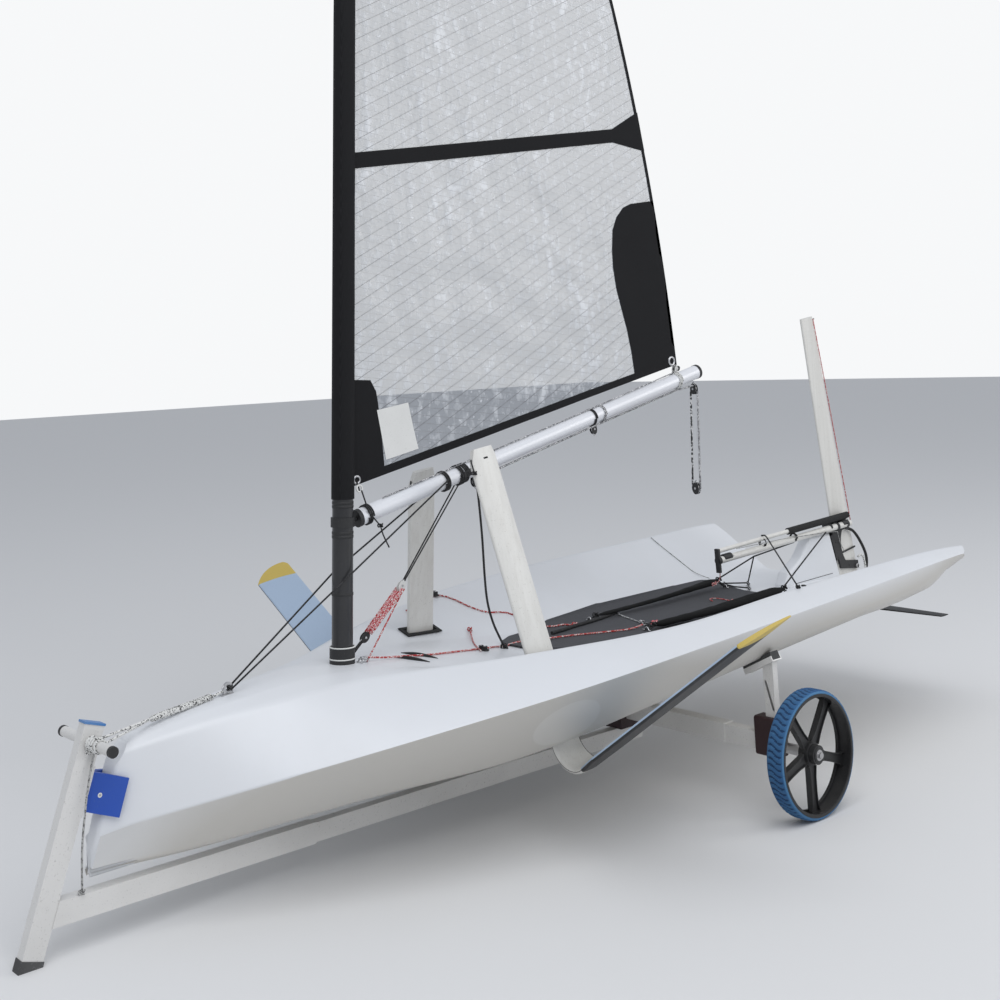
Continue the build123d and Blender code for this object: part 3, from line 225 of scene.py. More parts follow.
def wornFinish(name, colour, dirt, mottle, specks, gloss, depth, **sockets):
    m, tree, shader = newMaterial(name, **sockets)
    wearNode(tree, shader, colour, dirt, mottle, specks, gloss, depth)
    return m


def wovenFinish(name, colour, light, scale, depth, rough, **sockets):
    m, tree, shader = newMaterial(name, Roughness=rough, **sockets)
    cloth = groupNode(tree, "weave", Scale=scale, Depth=depth)
    feed(tree, shader["Base Color"], mixColours(tree, cloth["Mask"], colour, light))
    feed(tree, shader["Normal"], cloth["Normal"])
    return m


def ropeFinish(name, colour, fleck, share, scale=320.0):
    m, tree, shader = newMaterial(name, Roughness=0.78)
    cover = groupNode(tree, "rope", Colour=colour, Fleck=fleck, Share=share, Scale=scale)
    feed(tree, shader["Base Color"], cover["Colour"])
    feed(tree, shader["Normal"], cover["Normal"])
    return m


def upwardPart(tree):
    normal = tree.nodes.new("ShaderNodeNewGeometry").outputs["Normal"]
    return addNode(tree, "SeparateXYZ", {"Vector": normal}).outputs["Z"]


# lifting blades: painted shade below in near black, and a painted pale blue sky reflection above
def makeBladeFinish():
    m, tree, shader = newMaterial("bladeShadeAndSkyReflection")
    # painted light: downward faces take the dark painted shade, upward faces the pale blue painted sky reflection
    colour = mixColours(tree, rampNode(tree, upwardPart(tree), -0.05, 0.05), (0.016, 0.016, 0.018), (0.42, 0.53, 0.68))
    wearNode(tree, shader, colour, (0.22, 0.23, 0.25), 0.10, 0.2, 0.48, 0.05)
    return m


# gelcoat: cool white above, painted shade underneath (a warmer grey standing in for shade and light bounced off the
# floor), and a paler repair round the port foil's exit
gelcoatSet = {"above": (0.72, 0.735, 0.76), "under": (0.57, 0.55, 0.51), "repair": (0.66, 0.65, 0.62),
              "place": (0.430, 0.520, 0.400), "inner": 0.112, "outer": 0.118}


def makeGelcoat():
    c = gelcoatSet
    m, tree, shader = newMaterial("whiteGelcoat", Coat_Weight=0.15, Coat_Roughness=0.25)
    # painted shade: faces turned downward take the warmer grey, as shade with warm floor bounce would make them
    under = rampNode(tree, upwardPart(tree), -0.04, -0.50)
    coords = tree.nodes.new("ShaderNodeTexCoord").outputs["Object"]
    far = addNode(tree, "VectorMath", {0: coords, 1: c["place"]}, operation="DISTANCE").outputs["Value"]
    near = mathNode(tree, "MULTIPLY", under, rampNode(tree, far, c["outer"], c["inner"], 0.0, 0.55))
    colour = mixColours(tree, near, mixColours(tree, under, c["above"], c["under"]), c["repair"])
    wearNode(tree, shader, colour, (0.55, 0.55, 0.54), 0.14, 0.08, 0.36, 0.03)
    return m


# painted foils: warm white with worn streaks along their length
def makeFoilWhite():
    m, tree, shader = newMaterial("foilWhite")
    streaks = rampNode(tree, noiseNode(tree, 1.0, 5, (60.0, 60.0, 2.2)), 0.42, 0.72)
    colour = mixColours(tree, streaks, (0.71, 0.70, 0.665), (0.655, 0.642, 0.605))
    wearNode(tree, shader, colour, (0.40, 0.38, 0.34), 0.08, 0.45, 0.34, 0.05)
    return m


# film: milky clear, with two sets of fine dark threads, brightest along its creases
filmSet = {"threads": ((0.52, 0.050, 0.045), (-0.13, 0.027, 0.060)), "dark": (0.24, 0.26, 0.29),
           "pale": (0.60, 0.62, 0.65), "thread": (0.10, 0.10, 0.11), "cover": 0.60}


def makeFilmFinish():
    m, tree, shader = newMaterial("clearFilm", Roughness=0.16)
    coords = tree.nodes.new("ShaderNodeTexCoord").outputs["Object"]
    parts = addNode(tree, "SeparateXYZ", {"Vector": coords}).outputs
    lines = []
    for slope, pitch, width in filmSet["threads"]:
        level = mathNode(tree, "ADD", parts["Z"], mathNode(tree, "MULTIPLY", parts["X"], slope))
        share = mathNode(tree, "FRACT", mathNode(tree, "DIVIDE", level, pitch))
        lines.append(mathNode(tree, "LESS_THAN", share, width))
    threads = mathNode(tree, "MAXIMUM", lines[0], mathNode(tree, "MULTIPLY", lines[1], 0.7))
    creases = noiseNode(tree, 5.5, 8, (1.0, 1.0, 0.45))
    crinkle = noiseNode(tree, 34, 9, (1.0, 1.0, 0.6))
    specks = rampNode(tree, noiseNode(tree, 60, 6), 0.62, 0.70)
    pale = mathNode(tree, "MAXIMUM", rampNode(tree, creases, 0.50, 0.72), specks, True)
    pale = mathNode(tree, "ADD", pale, rampNode(tree, crinkle, 0.38, 0.64, -0.6, 0.6), True)
    colour = mixColours(tree, pale, filmSet["dark"], filmSet["pale"])
    cover = mathNode(tree, "ADD", filmSet["cover"], mathNode(tree, "MULTIPLY", pale, 0.28))
    folds = mathNode(tree, "ADD", creases, mathNode(tree, "MULTIPLY", crinkle, 0.35))
    feed(tree, shader["Base Color"], mixColours(tree, threads, colour, filmSet["thread"]))
    feed(tree, shader["Alpha"], mathNode(tree, "MAXIMUM", cover, mathNode(tree, "MULTIPLY", threads, 0.85)))
    feed(tree, shader["Normal"], bumpNode(tree, folds, 0.8, 0.012))
    return m


# worn ones: colour, dirt, mottling, specks, roughness, grain; woven: colour, light, scale, depth, roughness
finishes = {
    "foilBlue": makeBladeFinish(), "gelcoat": makeGelcoat(), "foilWhite": makeFoilWhite(), "film": makeFilmFinish(),
    "ochre": wornFinish("ochreTip", (0.62, 0.46, 0.10), (0.45, 0.36, 0.14), 0.4, 0.4, 0.45, 0.1),
    "carbon": wornFinish("carbonSpar", (0.012, 0.012, 0.014), (0.05, 0.05, 0.05), 0.3, 0.3, 0.3, 0.1,
                         Coat_Weight=0.3),
    "blackMoulding": wornFinish("blackMoulding", (0.014, 0.014, 0.015), (0.06, 0.06, 0.06), 0.3, 0.5, 0.5, 0.4),
    "clearPale": wornFinish("paleMoulding", (0.72, 0.72, 0.70), (0.4, 0.4, 0.38), 0.3, 0.3, 0.4, 0.1),
    "seal": wornFinish("sealRubber", (0.012, 0.012, 0.012), (0.08, 0.08, 0.08), 0.3, 0.5, 0.8, 0.3),
    "foam": wornFinish("gripFoam", (0.012, 0.012, 0.012), (0.05, 0.05, 0.05), 0.3, 0.6, 0.9, 0.8),
    "tube": wornFinish("dollyTube", (0.72, 0.71, 0.69), (0.36, 0.35, 0.33), 0.25, 0.45, 0.42, 0.2, Metallic=0.15),
    "boom": wornFinish("boomTube", (0.76, 0.77, 0.80), (0.52, 0.52, 0.54), 0.15, 0.3, 0.32, 0.05, Metallic=0.10),
    "steel": wornFinish("stainless", (0.55, 0.55, 0.56), (0.25, 0.24, 0.23), 0.3, 0.3, 0.25, 0.1, Metallic=1.0),
    "bracket": wornFinish("bracketMoulding", (0.022, 0.005, 0.007), (0.05, 0.03, 0.03), 0.4, 0.4, 0.5, 0.4),
    "plateBlue": wornFinish("bowPlateBlue", (0.015, 0.075, 0.42), (0.06, 0.13, 0.36), 0.3, 0.5, 0.45, 0.2),
    "capBlue": wornFinish("capTape", (0.06, 0.20, 0.48), (0.3, 0.36, 0.45), 0.5, 0.6, 0.4, 0.4),
    "tyre": wornFinish("tyreBlue", (0.022, 0.095, 0.250), (0.075, 0.19, 0.31), 0.8, 0.9, 0.85, 0.9),
    "tyreEdge": wornFinish("tyreEdge", (0.065, 0.20, 0.38), (0.03, 0.08, 0.18), 0.7, 0.6, 0.7, 0.5),
    "tyreGroove": wornFinish("tyreGroove", (0.014, 0.052, 0.135), (0.01, 0.025, 0.06), 0.6, 0.5, 0.85, 0.5),
    "rim": wornFinish("rimBlack", (0.010, 0.010, 0.011), (0.06, 0.06, 0.06), 0.3, 0.3, 0.38, 0.2),
    "footRubber": wornFinish("footRubber", (0.05, 0.05, 0.05), (0.2, 0.2, 0.2), 0.5, 0.6, 0.8, 0.5),
    "mat": wovenFinish("deckMat", (0.050, 0.051, 0.057), (0.095, 0.097, 0.106), 150, 0.8, 0.85),
    "webbing": wovenFinish("webbing", (0.006, 0.006, 0.006), (0.016, 0.016, 0.017), 260, 0.6, 0.85,
                           Specular_IOR_Level=0.2),
    "sleeve": wovenFinish("sleeveCloth", (0.006, 0.006, 0.007), (0.015, 0.015, 0.017), 420, 0.35, 0.7,
                          Specular_IOR_Level=0.2),
    "ropeSheet": ropeFinish("ropeSheet", (0.012, 0.012, 0.013), (0.66, 0.66, 0.66), 0.40, 160.0),
    "ropeBlack": ropeFinish("ropeBlack", (0.012, 0.012, 0.013), (0.035, 0.035, 0.036), 0.3),
    "ropeRed": ropeFinish("ropeRed", (0.42, 0.03, 0.03), (0.72, 0.66, 0.64), 0.30),
    "ropePink": ropeFinish("ropePink", (0.62, 0.12, 0.14), (0.75, 0.55, 0.55), 0.35),
    "ropeGrey": ropeFinish("ropeGrey", (0.42, 0.42, 0.41), (0.10, 0.10, 0.10), 0.30),
    "ropeWhite": ropeFinish("ropeWhite", (0.70, 0.70, 0.68), (0.10, 0.10, 0.10), 0.22),
    "ropeSteel": ropeFinish("ropeSteel", (0.16, 0.16, 0.17), (0.62, 0.62, 0.62), 0.38),
    "elastic": ropeFinish("elastic", (0.010, 0.010, 0.010), (0.05, 0.05, 0.05), 0.15, 500.0),
}
slotFinish = {
    "hull_gelcoat": "gelcoat", "case_seal": "seal", "spar_carbon": "carbon", "sleeve_cloth": "sleeve",
    "batten_cloth": "sleeve", "boom_metal": "boom", "black_moulding": "blackMoulding", "stainless": "steel",
    "foil_white": "foilWhite", "foil_blade": "foilBlue", "tip_ochre": "ochre", "grip_foam": "foam",
    "webbing": "webbing", "dolly_tube": "tube", "bracket_moulding": "bracket", "bow_plate_blue": "plateBlue",
    "cap_tape": "capBlue", "tyre_blue": "tyre", "rim_black": "rim", "foot_rubber": "footRubber",
    "deck_mat": "mat", "sail_film": "sleeve",
}
for part in frame["record"]["subparts"]:
    cad = nodes[part["node"]]
    cad.data.materials.clear()
    cad.data.materials.append(finishes[slotFinish[part["material_slot"]]])
nodes["gooseneck"].data.materials[0] = finishes["blackMoulding"]
print("finishes ready")


# mesh helpers
def meshOf(name, points, faces):
    mesh = bpy.data.meshes.new(name)
    mesh.from_pydata([tuple(p) for p in points], [], faces)
    mesh.validate()
    made = bmesh.new()
    made.from_mesh(mesh)
    bmesh.ops.recalc_face_normals(made, faces=made.faces)
    made.to_mesh(mesh)
    made.free()
    return mesh


def addPiece(name, points, faces, body, finish, smooth=True, slot=None, replaces=()):
    mesh = meshOf(name, points, faces)
    if smooth:
        mesh.shade_smooth()
    mesh.materials.append(finishes[finish])
    piece = linkPiece(name, mesh, body)
    if replaces:
        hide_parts(*replaces)
    return piece


def softenEdges(piece, width, segments=2, angle=35):
    b = piece.modifiers.new("edges", "BEVEL")
    b.width = width
    b.segments = segments
    b.limit_method = "ANGLE"
    b.angle_limit = math.radians(angle)
    b.use_clamp_overlap = True


def circle(count, a, b=None):
    turns = [2 * math.pi * k / count for k in range(count)]
    return [(a * math.cos(t), (b or a) * math.sin(t)) for t in turns]


def rectangle(u0, u1, v0, v1):
    return [(u0, v0), (u1, v0), (u1, v1), (u0, v1)]


# turns (u, v, w) into a point along three directions
def inFrame(origin, a, b, c):
    return lambda u, v, w: origin + a * u + b * v + c * w


def ringFaces(rings, sides, closed=False):
    faces = []
    for i in range(rings if closed else rings - 1):
        a, b = i * sides, (i + 1) % rings * sides
        faces += [(a + k, a + (k + 1) % sides, b + (k + 1) % sides, b + k) for k in range(sides)]
    return faces


def capFaces(rings, sides):
    return [tuple(range(sides)), tuple(range(rings * sides - 1, (rings - 1) * sides - 1, -1))]


# rings along a path, carried on without twist
def addTube(name, path, radius, body, finish, sides=8):
    path = [Vector(p) for p in path]
    radii = radius if isinstance(radius, list) else [radius] * len(path)
    ahead = (path[1] - path[0]).normalized()
    lift = upright if abs(ahead.z) < 0.9 else forward
    points = []
    for i, p in enumerate(path):
        ahead = (path[min(i + 1, len(path) - 1)] - path[max(i - 1, 0)]).normalized()
        across = ahead.cross(lift).normalized()
        lift = across.cross(ahead).normalized()
        points += [p + across * u + lift * v for u, v in circle(sides, radii[i])]
    faces = ringFaces(len(path), sides) + [face[::-1] for face in capFaces(len(path), sides)]
    return addPiece(name, points, faces, body, finish)


# smooth points through the knots
def curvePoints(knots, steps=8):
    k = [knots[0] * 2 - knots[1]] + knots + [knots[-1] * 2 - knots[-2]]
    out = []
    for i in range(1, len(k) - 2):
        for t in (j / steps for j in range(steps)):
            out.append(0.5 * ((2 * k[i]) + (k[i + 1] - k[i - 1]) * t
                              + (2 * k[i - 1] - 5 * k[i] + 4 * k[i + 1] - k[i + 2]) * t * t
                              + (3 * k[i] - k[i - 1] - 3 * k[i + 1] + k[i + 2]) * t ** 3))
    return out + [k[-2]]


# a rounded corner: one quadratic arc that starts and ends a cut away from the corner
def cornerPoints(before, corner, after, cut, steps):
    a = corner + (before - corner).normalized() * min(cut, (before - corner).length * 0.48)
    b = corner + (after - corner).normalized() * min(cut, (after - corner).length * 0.48)
    return [a.lerp(corner, t).lerp(corner.lerp(b, t), t) for t in (i / steps for i in range(steps + 1))]


# a prism over a flat outline
def prism(outline, low, high, place):
    n = len(outline)
    points = [place(u, v, low) for u, v in outline] + [place(u, v, high) for u, v in outline]
    return points, [tuple(range(n)), tuple(range(2 * n - 1, n - 1, -1))] + ringFaces(2, n)


def addPrism(name, outline, low, high, place, body, finish, soften=0.0, slot=None):
    piece = addPiece(name, *prism(outline, low, high, place), body, finish, smooth=False, slot=slot)
    if soften:
        softenEdges(piece, soften)
    return piece


def cutAway(piece, outline, low, high, place):
    cutter = linkPiece("cutter", meshOf("cutter", *prism(outline, low, high, place)))
    m = piece.modifiers.new("cut", "BOOLEAN")
    m.operation = "DIFFERENCE"
    m.solver = "EXACT"
    m.object = cutter
    bpy.context.view_layer.objects.active = piece
    bpy.ops.object.modifier_apply(modifier=m.name)
    bpy.data.objects.remove(cutter)


# hull, in millimetres: sections from the drawing, faired between and rounded at every corner
# a corner has its name, its radius, the half breadth under which it shrinks, and its points
hullSet = {
    "columns": ("station", "keelZ", "belly", "bilgeY", "bilgeZ", "edgeY", "edgeZ",
                "crestY", "crestZ", "soleY", "soleZ", "crownZ"),
    "rows": (
        (-75, 190, 1, 12, 200, 20, 292, 15, 470, 8, 486, 490),
        (60, 180, 2, 36, 197, 76, 312, 52, 500, 28, 520, 526),
        (300, 170, 3, 100, 208, 212, 360, 112, 543, 60, 562, 567),
        (700, 180, 6, 250, 255, 440, 443, 195, 577, 105, 590, 592),
        (1200, 186, 12, 400, 292, 640, 524, 430, 604, 250, 545, 550),
        (1700, 218, 25, 650, 438, 735, 583, 600, 628, 220, 505, 498),
        (2300, 268, 30, 715, 519, 760, 626, 617, 660, 330, 497, 490),
        (2900, 318, 30, 690, 551, 728, 648, 622, 680, 385, 502, 495),
        (3250, 338, 32, 620, 545, 712, 660, 640, 688, 395, 504, 497),
        (3470, 430, 6, 365, 462, 698, 661, 665, 684, 390, 487, 482)),
    "corners": (("bilge", 100, 300, 5), ("edge", 6, 1, 2), ("crest", 16, 90, 5), ("sole", 50, 120, 4)),
    "sections": 72, "reach": (-75, 60, 3468), "stemRound": 11,
    "stem": ((68, 0), (68, 250), (8, 455), (-30, 507), (-200, 640), (400, 640), (400, 0)),
    "transom": ((3458, 0), (3458, 470), (3440, 560), (3434, 600), (3420, 640), (3398, 672), (3368, 694), (3332, 708),
                (3290, 722), (3290, 1000), (4000, 1000), (4000, 0)),
}
# struts: rake inboard and forward, the slot through the hull and the wider recess for the elbow below
strutSet = {"lean": (0.136, 0.242), "station": 1.345, "y": 0.327, "z": 0.527, "starboardDrop": 0.090,
            "slot": (0.065, 0.017), "recess": 0.097, "recessTop": -0.233}


# section values at a station, faired between the table's rows
def sectionAt(station):
    rows = hullSet["rows"]
    last = len(rows) - 1
    i = max(k for k in range(last) if rows[k][0] <= station or k == 0)
    span = rows[i + 1][0] - rows[i][0]
    t = (station - rows[i][0]) / span
    out = {}
    for c, label in enumerate(hullSet["columns"]):
        m1, m2 = ((b[c] - a[c]) / (b[0] - a[0]) * span
                  for a, b in ((rows[max(k - 1, 0)], rows[min(k + 1, last)]) for k in (i, i + 1)))
        out[label] = ((2 * t ** 3 - 3 * t * t + 1) * rows[i][c] + (t ** 3 - 2 * t * t + t) * m1
                      + (3 * t * t - 2 * t ** 3) * rows[i + 1][c] + (t ** 3 - t * t) * m2)
    return out


# points of the port half, keel to crown, in metres across and up
def halfSection(s):
    keel, dip, crown = (Vector((0, z)) for z in (s["keelZ"], -s["belly"], s["crownZ"]))
    bilge, edge, crest, sole = (Vector((s[k + "Y"], s[k + "Z"])) for k in ("bilge", "edge", "crest", "sole"))
    bottom = [keel.lerp(bilge, t) + dip * (4 * t * (1 - t)) for t in (i / 9 for i in range(9))]
    chain = [bottom[8], bilge, edge, crest, sole, sole.lerp(crown, 0.15)]
    points = bottom[:8]
    for i, (label, radius, small, steps) in enumerate(hullSet["corners"]):
        points += cornerPoints(*chain[i:i + 3], radius * min(1.0, s[label + "Y"] / small), steps)
    points += [Vector((sole.x * (1 - t), sole.y + (crown.y - sole.y) * (2 * t - t * t)))
               for t in (i / 6 for i in range(2, 7))]
    return [p / 1000 for p in points]


def strutFrame(side):
    s = strutSet
    up = Vector((s["lean"][0], -side * s["lean"][1], 1)).normalized()
    ahead = Vector((up.z, 0, -up.x)).normalized()
    return Vector((stationX(s["station"]), side * s["y"], s["z"])), ahead, up.cross(ahead), up


def roundStem(hull):
    made = bmesh.new()
    made.from_mesh(hull.data)
    rims = [e for e in made.edges if len(e.link_faces) == 2 and e.calc_face_angle() > math.radians(40)
            and min(v.co.x for v in e.verts) > stemX - 0.002 and abs(e.verts[0].co.y) > 0.004
            and max(f.normal.x for f in e.link_faces) > 0.75]
    bmesh.ops.bevel(made, geom=rims, offset=hullSet["stemRound"] / 1000, segments=5, profile=0.5, affect="EDGES",
                    clamp_overlap=False)
    made.to_mesh(hull.data)
    made.free()


def makeHull():
    count, (first, second, last) = hullSet["sections"], hullSet["reach"]
    points = []
    for i in range(count):
        station = first if i == 0 else second + (last - second) * ((i - 1) / (count - 2))
        half = halfSection(sectionAt(station))
        ring = half + [Vector((-p.x, p.y)) for p in half[-2:0:-1]]
        points += [Vector((stationX(station / 1000), p.x, p.y)) for p in ring]
    hull = addPiece("hullShell", points, ringFaces(count, len(ring)) + capFaces(count, len(ring)), "boat", "gelcoat",
                    slot="hull_gelcoat", replaces=["hull"])
    stem = [((stemX * 1000 + x) / 1000, z / 1000) for x, z in hullSet["stem"]]
    cutAway(hull, stem, -0.5, 0.5, lambda u, v, w: Vector((u, w, v)))
    roundStem(hull)
    aft = [(stationX(s / 1000), y / 1000) for s, y in hullSet["transom"]]
    aft += [(x, -y) for x, y in aft[-2:0:-1]]
    cutAway(hull, aft, 0, 1, lambda u, v, w: Vector((u, v, w)))
    long, thin = strutSet["slot"]
    for word, side in bothSides:
        place = inFrame(*strutFrame(side))
        near, far = -side * thin, side * strutSet["recess"]
        cutAway(hull, [(long, thin), (long, -thin), (-long, -thin), (-long, thin)], -0.7, 0.7, place)
        cutAway(hull, [(long, near), (-long, near), (-long, far), (long, far)], -0.6, strutSet["recessTop"], place)
    lean = math.tan(mastSet["lean"])
    foot = Vector((stationX(mastSet["station"]) - lean * 0.01, 0, 0.5))
    cutAway(hull, circle(32, 0.0345), 0, 0.4, lambda u, v, w: foot + Vector((u - lean * w, v, w)))
    hull.data.shade_smooth()
    sharp = hull.modifiers.new("creases", "EDGE_SPLIT")
    sharp.split_angle = math.radians(38)
    print("hull skin", len(hull.data.polygons), "faces")


makeHull()


# the height of hull or mat under a point
def makeDeckTree(owners):
    points, faces = [], []
    for owner in owners:
        base = len(points)
        points += [owner.matrix_world @ v.co for v in owner.data.vertices]
        faces += [tuple(base + k for k in f.vertices) for f in owner.data.polygons]
    return BVHTree.FromPolygons(points, faces)


deckTree = makeDeckTree([bpy.data.objects["hullShell"], nodes["cockpit_mat"]])


def deckHeight(x, y):
    hit = deckTree.ray_cast(Vector((x, y, 0.9)), -upright)[0]
    return hit.z if hit else 0.5


def deckPoint(x, y, lift=0.0):
    return Vector((x, y, deckHeight(x, y) + lift))


# ropes: free cords, taut lines, knots and turns
def measureLine(curve):
    bare = curve.copy()
    bare.bevel_depth = 0
    holder = linkPiece("measure", bare)
    bpy.context.view_layer.update()
    mesh = bpy.data.meshes.new_from_object(holder.evaluated_get(bpy.context.evaluated_depsgraph_get()))
    points = [v.co.copy() for v in mesh.vertices]
    bpy.data.objects.remove(holder)
    return sum((b - a).length for a, b in zip(points, points[1:]))


def freeCord(name, knots, diameter, body, finish):
    data = bpy.data.curves.new(name, "CURVE")
    data.dimensions = "3D"
    data.bevel_depth = diameter / 2
    data.bevel_resolution = 3
    data.resolution_u = 8
    data.use_fill_caps = True
    spline = data.splines.new("NURBS")
    spline.points.add(len(knots) - 1)
    for point, knot in zip(spline.points, knots):
        point.co = (*knot, 1)
    spline.order_u = 3
    spline.use_endpoint_u = True
    data.materials.append(finishes[finish])
    piece = linkPiece(name, data, body)
    length = round(measureLine(data), 3)
    print("cord", name, length)


def tautLine(name, knots, diameter, body, finish, sides=8):
    knots = [Vector(k) for k in knots]
    path = [a.lerp(b, i / 6) for a, b in zip(knots, knots[1:]) for i in range(6)]
    return addTube(name, path + knots[-1:], diameter / 2, body, finish, sides)


# a knot: three tucked turns of the rope round each other
def addKnot(name, place, size, rope, body, finish, ahead=(1, 0, 0)):
    place, ahead = Vector(place), Vector(ahead).normalized()
    lift = upright if abs(ahead.z) < 0.8 else portward
    across = ahead.cross(lift).normalized()
    lift = across.cross(ahead)
    path = []
    for t in (2 * math.pi * i / 24 for i in range(25)):
        u = (math.sin(t) + 2 * math.sin(2 * t)) / 3
        v = (math.cos(t) - 2 * math.cos(2 * t)) / 3
        w = -math.sin(3 * t) * 0.5
        path.append(place + ahead * (u * size) + across * (v * size * 0.8) + lift * (w * size * 0.9))
    return addTube(name, path, rope / 2, body, finish)


def wrapRound(name, centre, axis, radius, turns, pitch, rope, body, finish):
    axis = Vector(axis).normalized()
    side = axis.cross(Vector((0.3, 0.2, 1))).normalized()
    other = axis.cross(side)
    steps = int(turns * 20)
    path = []
    for i in range(steps + 1):
        t = 2 * math.pi * turns * i / steps
        along = (i / steps - 0.5) * pitch * turns
        path.append(Vector(centre) + axis * along + side * (radius * math.cos(t)) + other * (radius * math.sin(t)))
    addTube(name, path, rope / 2, body, finish)


# small hardware: balls for screws and bolts, rings, blocks, saddles and cleats
def ballAt(name, place, radii, body, finish, sides=10):
    rings, place = 6, Vector(place)
    points = [Vector((math.sin(t) * u * radii[0], math.sin(t) * v * radii[1], math.cos(t) * radii[2])) + place
              for t in (math.pi * i / rings for i in range(1, rings)) for u, v in circle(sides, 1)]
    faces = ringFaces(rings - 1, sides)
    top, last = len(points), (rings - 2) * sides
    points += [place + upright * radii[2], place - upright * radii[2]]
    for k in range(sides):
        faces += [(top, (k + 1) % sides, k), (top + 1, last + k, last + (k + 1) % sides)]
    addPiece(name, points, faces, body, finish)


def ringAt(name, centre, axis, radius, thick, body, finish, sides=8, steps=24):
    axis = Vector(axis).normalized()
    side = axis.cross(Vector((0.31, 0.22, 0.93))).normalized()
    other = axis.cross(side)
    points = []
    for a, b in circle(steps, 1):
        points += [centre + (side * a + other * b) * (radius + u) + axis * v for u, v in circle(sides, thick)]
    return addPiece(name, points, ringFaces(steps, sides, True), body, finish)


def plateFrame(up, across):
    up = Vector(up).normalized()
    across = (Vector(across) - up * Vector(across).dot(up)).normalized()
    return up, across, up.cross(across)


# a block: two cheeks, a sheave between them and a strap over the top
blockParts = (("cheekA", 0.22, 0.34, 1.0), ("cheekB", -0.34, -0.22, 1.0), ("sheave", -0.20, 0.20, 0.74))


def addBlock(name, centre, up, face, size, body, finish="blackMoulding"):
    up, face, side = plateFrame(up, face)
    place = inFrame(Vector(centre), side, up, face)
    for part, low, high, grow in blockParts:
        addPrism(name + "." + part, circle(24, 0.72 * size * grow, size * grow), low * size, high * size, place, body,
                 "steel" if part == "sheave" else finish, size * 0.06)
    addPrism(name + ".pin", circle(12, 0.2 * size), -0.42 * size, 0.42 * size, place, body, "steel")
    hoop = [place(0.3 * size * math.cos(t), size * (0.75 + 0.55 * math.sin(t)), 0)
            for t in (math.pi * k / 8 for k in range(-1, 10))]
    addTube(name + ".hoop", hoop, size * 0.09, body, "steel")


# deck saddle: a bent strip of steel with a screw at each foot
saddleArch = ((-1.0, -0.05), (-0.62, -0.05), (-0.48, 0.12), (-0.35, 0.48), (0, 0.62), (0.35, 0.48), (0.48, 0.12),
              (0.62, -0.05), (1.0, -0.05))


def addSaddle(name, place, size, body, along=portward):
    arch = [place + along * (size * u) + upright * (size * h) for u, h in saddleArch]
    addTube(name, arch, size * 0.13, body, "steel")
    for label, u in (("ScrewB", -0.8), ("ScrewA", 0.8)):
        ballAt(name + label, place + along * (size * u) + upright * (size * 0.08),
               (size * 0.16, size * 0.16, size * 0.10), body, "steel")


# cleat: two toothed cams on a base
def addCleat(name, centre, ahead, size, body):
    up, ahead, side = plateFrame(upright, ahead)
    place = inFrame(centre, side, ahead, up)
    base = ((-1.0, -0.55), (1.0, -0.55), (1.15, -0.2), (1.15, 0.2), (1.0, 0.55), (-1.0, 0.55), (-1.15, 0.2),
            (-1.15, -0.2))
    base = [(u * size, v * size) for u, v in base]
    addPrism(name + ".base", base, -0.002, 0.004, place, body, "blackMoulding", 0.001)
    for label, way in (("A", 1), ("B", -1)):
        teeth = [size * (0.42 + (0.04 if i % 2 else 0)) for i in range(24)]
        cam = [(way * size * 0.55 + r * u * 0.8, r * v) for r, (u, v) in zip(teeth, circle(24, 1))]
        addPrism(name + ".cam" + label, cam, 0.004, 0.014, place, body, "blackMoulding")
        ballAt(name + ".bolt" + label, place(way * size * 0.55, 0, 0.014), (0.0035, 0.0035, 0.002), body, "steel")


# free lines on deck: place across the deck, and height over it where it climbs
deckLines = (
    ("controlLinePort", "ropeRed", 0.006, "object",
     ((0.838, 0.036, 0.012), (0.78, 0.038, 0.004), (0.70, 0.041, 0.004), (0.60, 0.038), (0.50, 0.030), (0.39, 0.020),
      (0.28, -0.002), (0.20, -0.016), (0.128, -0.029), (0.03, -0.029), (-0.068, -0.022), (-0.15, 0.008),
      (-0.25, 0.054), (-0.346, 0.092), (-0.395, 0.088, 0.008))),
    ("controlLineFar", "ropeRed", 0.006, "knot",
     ((0.30, -0.461, 0.003), (0.22, -0.498), (0.13, -0.544), (0.075, -0.558), (0.035, -0.52), (0.018, -0.44),
      (-0.02, -0.374), (-0.085, -0.366), (-0.125, -0.34), (-0.125, -0.27), (-0.140, -0.20), (-0.172, -0.166),
      (-0.22, -0.17), (-0.238, -0.15), (-0.241, -0.123, 0.002))),
    ("cunninghamTail", "ropeRed", 0.005, "knot",
     ((0.375, 0.053, 0.002), (0.33, -0.02), (0.27, -0.11), (0.21, -0.19), (0.153, -0.268, 0.002))),
    ("strapLineAft", "ropeSteel", 0.005, "knot",
     ((-0.515, -0.155, 0.002), (-0.50, -0.115), (-0.485, -0.06), (-0.466, -0.012), (-0.449, 0.031, 0.001))),
    ("tillerCord", "ropeRed", 0.004, "knot",
     ((-0.93, 0.03, 0.130), (-0.934, 0.028, 0.115), (-0.938, 0.022, 0.095), (-0.935, 0.013, 0.080),
      (-0.926, 0.006, 0.074))),
    ("matCord", "ropeRed", 0.004, "knot",
     ((-0.945, -0.030, 0.001), (-0.962, -0.062), (-0.985, -0.074), (-1.002, -0.060), (-1.004, -0.030), (-0.997, 0.008),
      (-0.983, 0.045, 0.001))),
    ("wingCord", "ropeGrey", 0.003, "object",
     ((-1.226, -0.613, 0.003), (-1.237, -0.568, 0.003), (-1.258, -0.515, 0.002), (-1.277, -0.468), (-1.296, -0.412),
      (-1.317, -0.356, 0.004))),
    ("braidedStrapLine", "ropeBlack", 0.013, "object",
     ((-0.081, -0.078), (-0.15, -0.088), (-0.23, -0.108), (-0.30, -0.118), (-0.38, -0.132), (-0.45, -0.15),
      (-0.51, -0.158, 0.004))),
)


